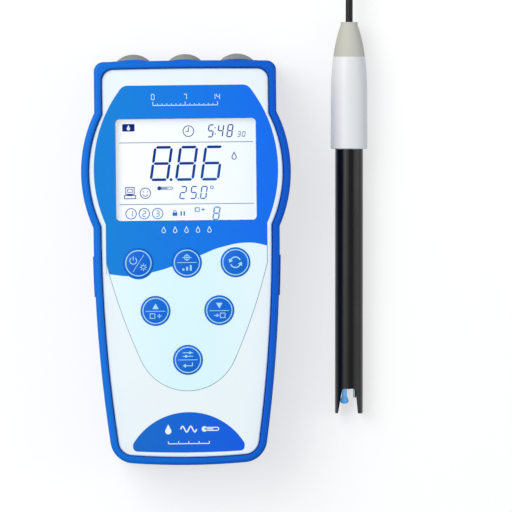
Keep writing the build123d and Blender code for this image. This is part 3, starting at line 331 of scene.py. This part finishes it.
def wave_height(look, x):
    """The height of the wave at x, in metres, from a curve through the wave's points."""
    curve = look.tree.nodes.new("ShaderNodeFloatCurve")
    points = curve.mapping.curves[0].points
    for number, (wave_x, wave_y) in enumerate(wave):
        along = (wave_x - wave_span[0]) / (wave_span[1] - wave_span[0])
        height = (wave_y - wave_rise[0]) / (wave_rise[1] - wave_rise[0])
        if number in (0, len(wave) - 1):
            points[-1 if number else 0].location = (along, height)
        else:
            points.new(along, height)
    curve.mapping.update()
    look.feed(curve.inputs["Value"], look.ramp(x, wave_span[0] * MM, wave_span[1] * MM))
    return look.ramp(curve.outputs[0], 0.0, 1.0, wave_rise[0] * MM, wave_rise[1] * MM)


def distance_from(look, x, y, place):
    """How far a point of the face lies from a place on it."""
    away_x = look.math("SUBTRACT", x, place.x)
    away_y = look.math("SUBTRACT", y, place.y)
    squares = [look.math("MULTIPLY", away, away) for away in (away_x, away_y)]
    return look.math("SQRT", look.math("ADD", *squares))


def film_look():
    """The overlay film's print: blue above the wave and in a collar round the power key, with
    painted shade that deepens the blue towards the right.
    """
    look = Look("film_print", 0.3, Specular_IOR_Level=0.15)
    x, y = look.axis("X"), look.axis("Y")
    above = look.math("SUBTRACT", y, wave_height(look, x))
    over_wave = look.ramp(above, -print_blur, print_blur)
    key_low, key_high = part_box("key_power")
    key_place = (key_low + key_high) / 2
    reach = key_high.x - key_place.x - (key_flange_lap - collar_width) * MM
    away = distance_from(look, x, y, key_place)
    in_collar = look.ramp(away, reach + print_blur, reach - print_blur)
    # Painted shade: the blue deepens towards the right.
    blue = look.across(film_shade_span, blue_lit_left, blue_shaded_right)
    pale = look.mix(look.ramp(look.math("ABSOLUTE", x), *pale_span), pale_middle, pale_edge)
    look.paint(look.mix(look.math("MAXIMUM", over_wave, in_collar), pale, blue))
    look.grain(*film_grain)
    return look.material


def inlay_look():
    """The blue inlay at the foot, with painted shade that deepens it towards the right."""
    look = Look("inlay_print", 0.28, Specular_IOR_Level=0.15)
    # Painted shade: the blue deepens towards the right, away from the lamps at the upper left.
    look.paint(look.across(inlay_shade_span, (8, 106, 204), (8, 94, 226)))
    look.grain(*film_grain)
    return look.material


def key_look():
    """Satin blue key print."""
    look = Look("key_blue", 0.34, Specular_IOR_Level=0.2)
    look.paint(look.shades(srgb(2, 104, 214), 0.05, 0.006))
    look.grain(0.0003, 3e-6)
    return look.material


def display_look():
    """The lit display behind its window: nearly white, a little cooler to the right."""
    look = Look("display_panel", 0.5, Specular_IOR_Level=0.1)
    look.paint(look.across(display_span, (214, 216, 219), (206, 214, 219)))
    look.glow(look.across(display_span, (253, 254, 255), (243, 251, 255)), 0.42)
    return look.material


def window_look():
    """The clear window, with a faint cool tint."""
    look = Look("window_clear", 0.04, Alpha=0.03, Specular_IOR_Level=0.5)
    look.paint(look.shades(srgb(70, 84, 104), 0.02, 0.01))
    return look.material


def ink_look(name, colour):
    """Ink in one colour, a little uneven."""
    look = Look(name, 0.45, Specular_IOR_Level=0.3)
    look.paint(look.shades(srgb(*colour), 0.03, 0.002))
    return look.material


def display_ink_look():
    """Display segments: navy at the top left, lighter blue towards the lower right."""
    look = Look("display_ink", 0.6, Specular_IOR_Level=0.0)
    down = look.ramp(look.axis("Y"), 0.058, 0.018, 0.0, 0.75)
    across = look.ramp(look.axis("X"), *display_span, 0.0, 0.35)
    share = look.math("ADD", down, across)
    upper = look.mix(look.ramp(share, 0.0, 0.55), srgb(8, 38, 128), srgb(14, 66, 156))
    look.paint(look.mix(look.ramp(share, 0.55, 1.05), upper, srgb(48, 148, 222)))
    return look.material


def metal_look(name, colour, roughness):
    """Plated metal with fine turning marks."""
    look = Look(name, roughness, Metallic=1.0)
    look.paint(look.shades(srgb(*colour), 0.05, 0.004))
    look.grain(0.00025, 2e-6, 0.06)
    return look.material


def rubber_look(name, colour, roughness=0.62, spread=0.05):
    """Moulded rubber, or the tie's woven strap."""
    look = Look(name, roughness, Specular_IOR_Level=0.35)
    look.paint(look.shades(srgb(*colour), spread, 0.008))
    look.grain(0.00045, 9e-6, 0.06)
    return look.material


def side_lit_look(name, left, right, roughness, depth):
    """A piece of the electrode with painted reflections: warmer on its left side, as from a warm
    lamp there, and cooler on its right.
    """
    look = Look(name, roughness, Specular_IOR_Level=0.35)
    low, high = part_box("electrode_handle")
    # Painted reflection: the tone runs from warm at the left edge to cool at the right, across the
    # handle's width.
    tone = look.across((low.x, high.x), left, right)
    look.paint(look.mix(look.patches(0.02, 0.0, 0.2), tone, scaled(srgb(*right), 1.03)))
    look.grain(0.0005, depth)
    return look.material


def bulb_look():
    """Blue glass, deeper at the bulb than along the stem, with a painted glow for the light that
    shines through it.
    """
    look = Look("bulb_glass", 0.06, Alpha=0.88, Specular_IOR_Level=0.5)
    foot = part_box("ph_glass")[0].y
    bulb_height = 4.5 * MM
    up = look.ramp(look.axis("Y"), foot, foot + bulb_height)
    tone = look.mix(up, srgb(66, 160, 232), srgb(134, 206, 250))
    look.paint(tone)
    # Painted light: the glass glows in its own colour, in place of the light shining through it.
    look.glow(tone, 0.35)
    return look.material


# Looks by their material slot. Metals: colour and roughness
metals = {
    "ring_nickel": ((205, 205, 200), 0.24),
    "socket_metal": ((204, 204, 198), 0.28),
    "contact_gold": ((224, 180, 92), 0.25),
    "contact_metal": ((200, 196, 186), 0.32),
    "screw_steel": ((188, 188, 190), 0.3),
    "pin_steel": ((190, 190, 192), 0.25),
    "sensor_metal": ((176, 186, 186), 0.3),
    "silver_wire": ((214, 214, 214), 0.22),
    "cell_can": ((120, 122, 126), 0.35),
}
# Rubbers: colour, and roughness where it isn't the usual one
rubbers = {
    "cap_rubber": ((150, 153, 146),),
    "cable_black": ((20, 20, 21), 0.5),
    "plug_rubber": ((24, 24, 25),),
    "seal_rubber": ((30, 30, 30),),
    "strip_rubber": ((206, 196, 190),),
    "mat_rubber": ((214, 214, 212),),
}
# Plain surfaces: colour, roughness, spread of shades, size of patches, size and depth of grain
plastics = {
    "face_white": ((238, 248, 252), 0.34, 0.015, 0.03, 0.0005, 3e-6),
    "insulator_white": ((232, 232, 226), 0.35, 0.02),
    "junction_ceramic": ((228, 224, 212), 0.8, 0.05, 0.001, 0.0002, 2e-5),
    "inner_plastic": ((212, 212, 208), 0.5, 0.03),
    "light_guide": ((236, 240, 242), 0.25, 0.02),
    "board_green": ((22, 104, 52), 0.4, 0.08, 0.004),
    "chip_black": ((28, 28, 30), 0.55, 0.06),
    "block_plastic": ((36, 37, 40), 0.5, 0.05),
    "seal_epoxy": ((30, 30, 34), 0.3, 0.08, 0.003),
    "lead_wire": ((170, 30, 26), 0.4, 0.05),
}


def dress():
    """Puts the look of its material slot on every node, and gives the looks."""
    looks = {
        # The case, the cover and the stand carry painted shade, deeper towards the right.
        "case_blue": case_look("case_blue", (4, 112, 218), (4, 86, 202)),
        "cover_plastic": case_look("cover_blue", (4, 106, 210), (4, 84, 194)),
        "stand_plastic": case_look("stand_blue", (4, 100, 204), (4, 80, 188)),
        "film_print": film_look(),
        "inlay_blue": inlay_look(),
        "key_blue": key_look(),
        "window_clear": window_look(),
        "display_glass": display_look(),
        # The strain relief and the handle carry painted reflections, warm on the left and cool on
        # the right.
        "relief_rubber": side_lit_look("relief_rubber", (190, 188, 166), (207, 207, 205), 0.6, 9e-6),
        "handle_white": side_lit_look("handle_white", (236, 234, 226), (231, 236, 243), 0.3, 2e-6),
        "bulb_glass": bulb_look(),
        "electrode_black": plain_look(
            "electrode_black", (12, 12, 13), 0.26, 0.1, 0.01, 0.0006, 2e-6, Specular_IOR_Level=0.3
        ),
    }
    for make, table in ((metal_look, metals), (rubber_look, rubbers), (plain_look, plastics)):
        for name, values in table.items():
            looks[name] = make(name, *values)
    for node in nodes.values():
        slots = node.data.materials
        for number, old in enumerate(slots):
            slots[number] = looks[old.name.split(".")[0]]
    return looks


looks = dress()
cable.data.materials.append(looks["cable_black"])

# Thin flat prints, in millimetres from the middle of the meter, or of the key that carries them.
# Their ink reaches a little above and below the printed surface.
ink_rise = 0.03
ink_sink = 0.02
round_steps = 40
mitre_limit = 0.4
fine_line, thin_line, sign_line = 0.26, 0.3, 0.34
segments_of = {
    "0": "abcdef", "1": "bc", "2": "abged", "3": "abgcd", "4": "fgbc",
    "5": "afgcd", "6": "afgedc", "7": "abc", "8": "abcdefg", "9": "abcdfg",
}


def arc(x, y, radius, start=0.0, end=360.0):
    """Points of an arc, between two angles in degrees."""
    steps = max(4, round(round_steps * abs(end - start) / 360))
    full = abs(end - start) == 360
    count = steps if full else steps + 1
    angles = [radians(start + (end - start) * step / steps) for step in range(count)]
    return [(x + radius * cos(angle), y + radius * sin(angle)) for angle in angles]


def arc_through(first, middle, last, steps=24):
    """Points of the arc through three points."""
    (ax, ay), (bx, by), (cx, cy) = first, middle, last
    spread = 2 * (ax * (by - cy) + bx * (cy - ay) + cx * (ay - by))
    squares = [px * px + py * py for px, py in (first, middle, last)]
    x = (squares[0] * (by - cy) + squares[1] * (cy - ay) + squares[2] * (ay - by)) / spread
    y = (squares[0] * (cx - bx) + squares[1] * (ax - cx) + squares[2] * (bx - ax)) / spread
    radius = hypot(ax - x, ay - y)
    start, end = atan2(ay - y, ax - x), atan2(cy - y, cx - x)
    sweep = (end - start + pi) % (2 * pi) - pi
    angles = [start + sweep * step / steps for step in range(steps + 1)]
    return [(x + radius * cos(angle), y + radius * sin(angle)) for angle in angles]


def wavy(x, y, length, height, waves):
    """Points of a wavy line."""
    steps = 12 * waves
    return [
        (x + length * step / steps, y + height / 2 * sin(2 * pi * waves * step / steps))
        for step in range(steps + 1)
    ]


def divided(points, closed, longest=1.0):
    """The points of a line, with more between those that lie far apart."""
    ends = points[1:] + points[:1] if closed else points[1:]
    made = []
    for (x, y), (end_x, end_y) in zip(points, ends):
        parts = max(1, ceil(hypot(end_x - x, end_y - y) / longest))
        for part in range(parts):
            made.append((x + (end_x - x) * part / parts, y + (end_y - y) * part / parts))
    return made if closed else made + points[-1:]


def unit(x, y):
    """The direction of a vector."""
    length = hypot(x, y) or 1.0
    return x / length, y / length


def edges_of(points, width, closed):
    """The left and right edge points of a line of that width, with mitred corners."""
    left, right = [], []
    count = len(points)
    for number, (x, y) in enumerate(points):
        before = points[number - 1] if number or closed else None
        after = points[(number + 1) % count] if number < count - 1 or closed else None
        back = unit(x - before[0], y - before[1]) if before else None
        ahead = unit(after[0] - x, after[1] - y) if after else back
        back = back or ahead
        across = unit(-back[1] - ahead[1], back[0] + ahead[0])
        square = across[0] * -back[1] + across[1] * back[0]
        reach = width / 2 / max(square, mitre_limit)
        left.append((x + across[0] * reach, y + across[1] * reach))
        right.append((x - across[0] * reach, y - across[1] * reach))
    return left, right


class Print:
    """Thin flat shapes on a level or crowned surface, gathered into one piece, in millimetres."""

    def __init__(self, name, level, x=0.0, y=0.0, crown=None):
        self.name = name
        self.crown = crown
        self.level = level
        self.x = x
        self.y = y
        self.mesh = bmesh.new()

    def corners(self, points, height):
        """New corners at a height above the printed surface."""
        made = []
        for x, y in points:
            drop = (x * x + y * y) / (2 * self.crown) if self.crown else 0.0
            place = ((self.x + x) * MM, (self.y + y) * MM, self.level + (height - drop) * MM)
            made.append(self.mesh.verts.new(place))
        return made

    def plate(self, points):
        """A filled shape inside a closed outline."""
        low = self.corners(points, -ink_sink)
        high = self.corners(points, ink_rise)
        self.mesh.faces.new(high)
        self.mesh.faces.new(low[::-1])
        for number in range(len(points)):
            after = (number + 1) % len(points)
            self.mesh.faces.new((low[number], low[after], high[after], high[number]))

    def line(self, points, width, closed=False):
        """A line of that width along the points."""
        if self.crown:
            points = divided(points, closed)
        edges = edges_of(points, width, closed)
        rows = [self.corners(edge, height) for height in (-ink_sink, ink_rise) for edge in edges]
        count = len(points)
        for number in range(count if closed else count - 1):
            after = (number + 1) % count
            loop = (rows[0], rows[1], rows[3], rows[2])
            for one, two in zip(loop, loop[1:] + loop[:1]):
                self.mesh.faces.new((one[number], one[after], two[after], two[number]))
        if not closed:
            for end in (0, count - 1):
                self.mesh.faces.new((rows[0][end], rows[1][end], rows[3][end], rows[2][end]))

    def disc(self, x, y, radius):
        """A filled circle."""
        self.plate(arc(x, y, radius))

    def ring(self, x, y, radius, width):
        """A circle drawn with a line."""
        self.line(arc(x, y, radius), width, closed=True)

    def frame(self, x, y, width, height, line):
        """A rectangle drawn with a line, from its lower left corner."""
        outline = [(x, y), (x + width, y), (x + width, y + height), (x, y + height)]
        self.line(outline, line, closed=True)

    def bar(self, x, y, width, height):
        """A filled rectangle, from its lower left corner."""
        self.plate([(x, y), (x + width, y), (x + width, y + height), (x, y + height)])

    def plus(self, x, y, half):
        """A plus sign about a point."""
        self.line([(x - half, y), (x + half, y)], sign_line)
        self.line([(x, y - half), (x, y + half)], sign_line)

    def droplet(self, x, y, height, line=0.0):
        """A water droplet, filled or drawn with a line, its round end at the foot."""
        radius = height * 0.31
        outline = arc(x, y + radius, radius, -205, 25) + [(x, y + height)]
        if line:
            self.line(outline, line, closed=True)
        else:
            self.plate(outline)

    def digit(self, symbol, x, y, height, width, stroke, slant=8.4, gap=0.08):
        """A seven-segment digit, from its lower left corner."""
        half = stroke / 2
        left, right = half, width - half
        low, middle, high = half, height / 2, height - half
        ends = {
            "a": ((left, high), (right, high)),
            "b": ((right, middle), (right, high)),
            "c": ((right, low), (right, middle)),
            "d": ((left, low), (right, low)),
            "e": ((left, low), (left, middle)),
            "f": ((left, middle), (left, high)),
            "g": ((left, middle), (right, middle)),
        }
        lean = tan(radians(slant))
        for segment in segments_of[symbol]:
            start, end = ends[segment]
            dx, dy = unit(end[0] - start[0], end[1] - start[1])
            length = hypot(end[0] - start[0], end[1] - start[1])
            outline = [
                (gap, 0), (gap + half, -half), (length - gap - half, -half),
                (length - gap, 0), (length - gap - half, half), (gap + half, half),
            ]
            shape = [(start[0] + a * dx - b * dy, start[1] + a * dy + b * dx) for a, b in outline]
            self.plate([(x + px + lean * py, y + py) for px, py in shape])

    def digits(self, places, y, size, **style):
        """Digits of one size on one line, each at its own x."""
        for symbol, x in places:
            self.digit(symbol, x, y, *size, **style)

    def done(self, look, body):
        """Turns what was drawn into a piece that rides on a body."""
        bmesh.ops.recalc_face_normals(self.mesh, faces=self.mesh.faces)
        data = bpy.data.meshes.new(self.name)
        self.mesh.to_mesh(data)
        self.mesh.free()
        piece = new_object(self.name, data)
        data.materials.append(look)
        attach(piece, body)


def badge_with_droplet(ink, paper, x, y, width, height):
    """A dark rounded label with a pale droplet."""
    corner = 0.35
    outline = (
        arc(x + corner, y + corner, corner, 180, 270)
        + arc(x + width - corner, y + corner, corner, 270, 360)
        + arc(x + width - corner, y + height - corner, corner, 0, 90)
        + arc(x + corner, y + height - corner, corner, 90, 180)
    )
    ink.plate(outline)
    paper.droplet(x + width / 2, y + 0.45, height - 0.85)


def clock(ink, x, y, radius):
    """A clock face with two hands."""
    ink.ring(x, y, radius - sign_line / 2, sign_line)
    ink.line([(x, y + radius * 0.68), (x, y - 0.1), (x - radius * 0.45, y - 0.1)], sign_line)


def computer(ink, x, y):
    """A small computer: a screen on its case."""
    ink.frame(x + 0.75, y + 2.05, 3.55, 2.85, sign_line)
    ink.frame(x + 1.55, y + 2.85, 1.95, 1.25, fine_line)
    ink.frame(x + 0.17, y + 0.17, 4.75, 1.3, 0.36)
    ink.bar(x + 1.4, y + 1.45, 2.2, 0.45)


def smiley(ink, x, y, radius):
    """A smiling face, as displays show for a steady reading."""
    ink.ring(x, y, radius - sign_line / 2, sign_line)
    for side in (-1, 1):
        ink.disc(x + side * radius * 0.36, y + radius * 0.24, 0.24)
    ink.line(arc(x, y + 0.05, radius * 0.55, 205, 335), thin_line)


def thermometer(ink, x, y, length, radius, line):
    """A thermometer lying on its side, its bulb at the left."""
    ink.disc(x, y, radius)
    half = radius * 0.55
    tube = [(x + radius * 0.7, y - half)] + arc(x + length - half, y, half, -90, 90)
    tube.append((x + radius * 0.7, y + half))
    ink.line(tube, line)
    ink.line([(x, y), (x + length * 0.62, y)], half * 0.7)


def padlock(ink, x, y, size):
    """A closed padlock."""
    ink.bar(x, y, size, size * 0.72)
    ink.line(arc(x + size / 2, y + size * 0.78, size * 0.3, 0, 180), size * 0.16)


# Seven-segment digits: height, width and stroke of each kind, then what several kinds share
value_digit = (14.7, 8.0, 1.12)
value_pitch = 10.63
time_digit = (5.5, 2.5, 0.5)
second_digit = (2.3, 1.35, 0.28)
heat_digit = (5.5, 2.75, 0.5)
channel_digit = (5.65, 2.85, 0.5)
ring_digit = (2.6, 1.5, 0.3)
scale_digit = (2.5, 1.5, 0.3)
small_gap = 0.03
upright = {"slant": 0, "gap": small_gap}
point_radius = 0.26


def top_row(ink, paper):
    """The label, the clock, and the time with its seconds."""
    badge_with_droplet(ink, paper, -26.6, 55.4, 5.2, 3.15)
    clock(ink, 1.2, 55.3, 2.4)
    ink.digits((("5", 8.95), ("4", 13.1), ("8", 17.0)), 52.55, time_digit)
    for y in (54.0, 56.6):
        ink.disc(12.45, y, point_radius)
    ink.digits((("3", 21.6), ("0", 23.6)), 52.7, second_digit, gap=small_gap)


def value_row(ink):
    """The reading in large digits, with a droplet in its unit's place."""
    places = [(symbol, -15.4 + value_pitch * number) for number, symbol in enumerate("886")]
    ink.digits(places, 34.45, value_digit, gap=0.2)
    ink.disc(-6.3, 35.0, 0.62)
    ink.droplet(20.3, 43.3, 2.9, 0.36)


def heat_row(ink):
    """The signs for a computer and a steady reading, and the temperature."""
    computer(ink, -26.15, 27.0)
    smiley(ink, -17.15, 29.4, 2.35)
    thermometer(ink, -11.3, 31.4, 5.6, 0.85, 0.28)
    ink.digits((("2", -3.05), ("5", 1.4), ("0", 5.65)), 26.75, heat_digit)
    ink.disc(5.15, 27.0, point_radius)
    ink.ring(10.8, 31.6, 0.6, thin_line)


def foot_row(ink):
    """Three ringed numbers, a padlock, a pause sign, a memory sign and a number."""
    for number, x in enumerate((-23.25, -17.7, -12.1)):
        ink.ring(x, 20.8, 2.2, sign_line)
        ink.digit(str(number + 1), x - ring_digit[1] / 2, 19.5, *ring_digit, **upright)
    padlock(ink, -5.8, 19.75, 2.0)
    for x in (-2.5, -1.2):
        ink.bar(x, 19.8, 0.6, 1.85)
    ink.frame(3.8, 21.5, 1.6, 1.6, thin_line)
    for step in (-0.55, 0.0, 0.55):
        ink.bar(3.3, 22.3 + step - 0.08, 0.4, 0.16)
    ink.plus(7.0, 22.3, 0.7)
    ink.digit("8", 10.8, 17.85, *channel_digit)


def display_prints():
    """What the display shows: plain numbers and plain signs, and the lines between its rows."""
    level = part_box("display_panel")[1].z
    ink = Print("display_segments", level)
    paper = Print("display_badge_droplet", level + ink_rise * MM)
    top_row(ink, paper)
    value_row(ink)
    heat_row(ink)
    foot_row(ink)
    ink.done(display_ink_look(), "meter")
    paper.done(ink_look("display_paper", (250, 252, 255)), "meter")
    lines = Print("display_lines", level)
    for y in (50.63, 24.7):
        lines.line([(-28.0, y), (28.4, y)], thin_line)
    lines.done(ink_look("display_line_ink", (112, 134, 178)), "meter")


# Scale above the display, signs on the inlay and line round the pale field
scale_y = 66.2
scale_half = 13.6
scale_numbers_y = 68.5
scale_steps = 14
inlay_half = 8.6
inlay_scale_y = -76.0
border_line = 0.22
border_side = 33.8
border_start_y = 6.8
border_end_y = -4.5
flank_middle = (27.65, -20.75)
flank_foot = (19.7, -40.8)
field_foot = (0.0, -53.8)


def mirrored(points):
    """The same points on the other side of the middle, in reverse order."""
    return [(-x, y) for x, y in points[::-1]]


def face_signs(level):
    """The scale above the display and the droplets below it."""
    white = Print("face_signs", level)
    white.line([(-scale_half, scale_y), (scale_half, scale_y)], thin_line)
    for tick in range(scale_steps + 1):
        x = -scale_half + 2 * scale_half * tick / scale_steps
        tall = 1.5 if tick % 7 == 0 else 0.8
        white.line([(x, scale_y), (x, scale_y + tall)], 0.28)
    centred = scale_digit[1] / 2
    numbers = (
        ("0", -scale_half - centred), ("7", -centred),
        ("1", scale_half - 2.4), ("4", scale_half - 0.5),
    )
    white.digits(numbers, scale_numbers_y, scale_digit, **upright)
    for number in range(5):
        white.droplet(-9.6 + 4.8 * number, 12.7, 2.4, thin_line)
    white.done(ink_look("face_white_ink", (214, 240, 255)), "meter")


def inlay_signs():
    """A droplet, a wave and a thermometer over a short scale."""
    inlay = Print("inlay_signs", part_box("lower_inlay")[1].z)
    inlay.droplet(-inlay_half, -72.0, 4.2)
    inlay.line(wavy(-3.4, -69.9, 6.8, 2.4, 2), 0.55)
    thermometer(inlay, 6.6, -69.9, 6.0, 1.15, 0.4)
    inlay.line([(-inlay_half, inlay_scale_y), (inlay_half, inlay_scale_y)], 0.35)
    for step in (-1, -0.5, 0, 0.5, 1):
        x = inlay_half * step
        inlay.line([(x, inlay_scale_y), (x, inlay_scale_y + 1)], 0.35)
    inlay.done(ink_look("inlay_white_ink", (236, 246, 255)), "meter")


def film_border(level):
    """The thin line round the pale field. Its left end runs back down from y 0."""
    border = Print("film_border", level)
    flank = arc_through((border_side, 0.0), flank_middle, flank_foot)
    foot = arc_through(flank_foot, field_foot, *mirrored([flank_foot]))
    route = [(border_side, border_start_y)] + flank + foot[1:-1] + mirrored(flank)
    border.line(route + [(-border_side, border_end_y)], border_line)
    border.done(ink_look("film_border_ink", (128, 160, 188)), "meter")


# Keys: a pale ring and a sign on each top, which is crowned as in the model of the key
key_ring_radius = 5.32
key_ring_width = 0.42
key_crown_radius = 45.0
rule_half = 4.1


def rule(ink, y):
    """The stroke between a key's two signs."""
    ink.line([(-rule_half, y), (rule_half, y)], fine_line)


def power_print(ink):
    """Power sign, a stroke and a lamp."""
    ink.line([(-2.3, -3.6), (2.4, 3.6)], 0.22)
    ink.line(arc(-2.15, 1.1, 1.45, 125, 415), sign_line)
    ink.line([(-2.15, 1.2), (-2.15, 3.0)], sign_line)
    ink.ring(2.1, -1.7, 0.75, thin_line)
    for number in range(8):
        angle = radians(45 * number)
        ray = [(2.1 + r * cos(angle), -1.7 + r * sin(angle)) for r in (1.05, 1.55)]
        ink.line(ray, thin_line)


def calibrate_print(ink):
    """A target over a stroke over three bars."""
    rule(ink, 0.1)
    ink.ring(0.0, 2.2, 1.05, sign_line)
    ink.line([(-1.9, 2.2), (1.9, 2.2)], thin_line)
    ink.line([(0.0, 0.85), (0.0, 3.7)], thin_line)
    for x, height in ((-1.9, 0.9), (-0.35, 1.6), (1.2, 2.3)):
        ink.bar(x, -3.3, 0.8, height)


def mode_print(ink):
    """Two arrows that chase each other."""
    radius, head_half, head_length = 2.2, 1.0, 1.5
    for turn in (0, 180):
        ink.line(arc(0, 0, radius, 25 + turn, 150 + turn), 0.5)
        angle = radians(150 + turn)
        out = (cos(angle), sin(angle))
        along = (-out[1], out[0])
        inner, outer = (
            tuple((radius + side * head_half) * value for value in out) for side in (-1, 1)
        )
        tip = tuple(radius * a + head_length * b for a, b in zip(out, along))
        ink.plate([inner, tip, outer])


def up_print(ink):
    """An upward triangle over a stroke, over a box and a plus."""
    ink.plate([(-1.35, 0.75), (1.35, 0.75), (0.0, 3.15)])
    rule(ink, -0.15)
    ink.frame(-2.3, -3.1, 2.0, 1.9, 0.32)
    ink.plus(1.6, -2.15, 0.9)


def down_print(ink):
    """A downward triangle over a stroke, over an arrow into a box."""
    ink.plate([(-1.35, 3.15), (0.0, 0.75), (1.35, 3.15)])
    rule(ink, -0.15)
    ink.frame(0.4, -3.1, 2.0, 1.9, 0.32)
    ink.line([(-2.3, -2.15), (-0.6, -2.15)], sign_line)
    ink.plate([(-1.1, -2.95), (-0.1, -2.15), (-1.1, -1.35)])


def enter_print(ink):
    """Two sliders over a stroke over an enter arrow."""
    for y, x in ((3.0, 0.9), (1.5, -0.8)):
        ink.line([(-2.2, y), (2.2, y)], 0.32)
        ink.disc(x, y, 0.55)
    rule(ink, 0.0)
    ink.line([(1.9, -1.1), (1.9, -2.5), (-1.0, -2.5)], 0.36)
    ink.plate([(-0.9, -3.4), (-0.9, -1.6), (-2.2, -2.5)])


key_prints = {
    "key_power": power_print,
    "key_calibrate": calibrate_print,
    "key_mode": mode_print,
    "key_up": up_print,
    "key_down": down_print,
    "key_enter": enter_print,
}


def print_keys():
    """A pale ring and a sign on each key."""
    look = ink_look("key_ink", (166, 220, 248))
    for key, draw in key_prints.items():
        low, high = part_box(key)
        middle = (low + high) / 2
        ink = Print(f"{key}_print", high.z, middle.x / MM, middle.y / MM, key_crown_radius)
        ink.ring(0.0, 0.0, key_ring_radius, key_ring_width)
        draw(ink)
        ink.done(look, key)


film_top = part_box("overlay_film")[1].z
display_prints()
face_signs(film_top)
inlay_signs()
film_border(film_top)
print_keys()

# Tie that holds the coil, in millimetres, at that angle round the coil from +X
tie_width = 6.0
tie_angle = 215.0
tie_corner = 2.0
tie_slack = 0.1


def tie_section():
    """The strap's inner and outer outline, as distances from the coil's middle and heights."""
    outer_turn, inner_turn = coil_turns[0][0], coil_turns[2][0]
    middle = (outer_turn + inner_turn) / 2
    half = (outer_turn - inner_turn) / 2 + cable_radius + tie_slack
    top = coil_layers[3] + cable_radius + tie_slack
    inner, outer = [], []
    for r, z, start in ((half, 0.0, -90), (half, top, 0), (-half, top, 90), (-half, 0.0, 180)):
        round_r = r - tie_corner * (1 if r > 0 else -1)
        round_z = (z + tie_corner + tie_thickness) if z == 0.0 else (z - tie_corner)
        for radius, loop in ((tie_corner, inner), (tie_corner + tie_thickness, outer)):
            loop.extend(arc(middle + round_r, round_z, radius, start, start + 90))
    return inner, outer


def make_tie():
    """A woven strap in one loop round the coil's turns."""
    inner, outer = tie_section()
    angle = radians(tie_angle)
    along = Vector((cos(angle), sin(angle), 0))
    across = Vector((-sin(angle), cos(angle), 0))
    base = Vector((*coil_centre, 0))
    mesh = bmesh.new()

    def row(loop, side):
        """One edge of the strap."""
        shift = base + across * side * tie_width / 2
        return [mesh.verts.new((shift + along * r + Vector((0, 0, z))) * MM) for r, z in loop]

    rows = [row(inner, -1), row(outer, -1), row(outer, 1), row(inner, 1)]
    count = len(inner)
    for one, two in zip(rows, rows[1:] + rows[:1]):
        for number in range(count):
            after = (number + 1) % count
            mesh.faces.new((one[number], one[after], two[after], two[number]))
    bmesh.ops.recalc_face_normals(mesh, faces=mesh.faces)
    data = bpy.data.meshes.new("cable_tie")
    mesh.to_mesh(data)
    mesh.free()
    tie = new_object("cable_tie", data)
    data.materials.append(rubber_look("tie_fabric", (34, 34, 36), 0.85, 0.2))
    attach(tie, "electrode")
    return tie


tie = make_tie()

# Studio, in metres. The lamps point at lamp_target.
floor_half = 4.0
floor_sink = 0.0001
floor_colour = (0.4, 0.4, 0.404, 1)
floor_glow = 0.63
world_colour = (0.96, 0.98, 1.0, 1)
world_level = 0.44
lamp_target = Vector((0.03, 0.0, 0.02))

# Lamps: azimuth from +X, angle from straight up, distance, width, length and power
lamps = {
    "key_lamp": (140, 42, 1.5, 1.1, 1.1, 14.0),
    "left_strip": (180, 30, 1.2, 0.3, 1.2, 1.8),
    "right_strip": (0, 66, 1.2, 0.3, 1.2, 2.2),
}


def floor_look():
    """A matt floor with a glow that the camera, mirrors and glass see."""
    look = Look("floor", 1.0)
    look.tree.nodes.remove(look.shader)
    path = look.tree.nodes.new("ShaderNodeLightPath").outputs
    mirrored_ray = look.math("MAXIMUM", path["Is Glossy Ray"], path["Is Transmission Ray"])
    seen = look.math("MAXIMUM", path["Is Camera Ray"], mirrored_ray)
    glow = look.node("ShaderNodeEmission", None, look.math("MULTIPLY", seen, floor_glow))
    both = look.node("ShaderNodeAddShader", look.node("ShaderNodeBsdfDiffuse", floor_colour), glow)
    look.feed(look.tree.nodes["Material Output"].inputs["Surface"], both)
    return look.material


def make_floor():
    """A pale floor that looks white to the camera and keeps the object's shadow."""
    mesh = bpy.data.meshes.new("floor")
    corners = [(x * floor_half, y * floor_half) for x, y in ((-1, -1), (1, -1), (1, 1), (-1, 1))]
    mesh.from_pydata([(x, y, -floor_sink) for x, y in corners], [], [(0, 1, 2, 3)])
    mesh.materials.append(floor_look())
    new_object("floor", mesh)


def make_world():
    """Even light from all round."""
    world = bpy.data.worlds.new("studio")
    world.use_nodes = True
    background = world.node_tree.nodes["Background"]
    background.inputs["Color"].default_value = world_colour
    background.inputs["Strength"].default_value = world_level
    scene.world = world


def softbox(name, azimuth, zenith, distance, width, length, power):
    """A rectangular lamp aimed at the object."""
    data = bpy.data.lights.new(name, "AREA")
    data.shape = "RECTANGLE"
    data.size = width
    data.size_y = length
    data.energy = power
    lamp = new_object(name, data)
    a, z = radians(azimuth), radians(zenith)
    away = Vector((sin(z) * cos(a), sin(z) * sin(a), cos(z)))
    lamp.location = lamp_target + away * distance
    lamp.rotation_mode = "QUATERNION"
    lamp.rotation_quaternion = away.to_track_quat("Z", "Y")


make_floor()
make_world()
for lamp_name, lamp_values in lamps.items():
    softbox(lamp_name, *lamp_values)
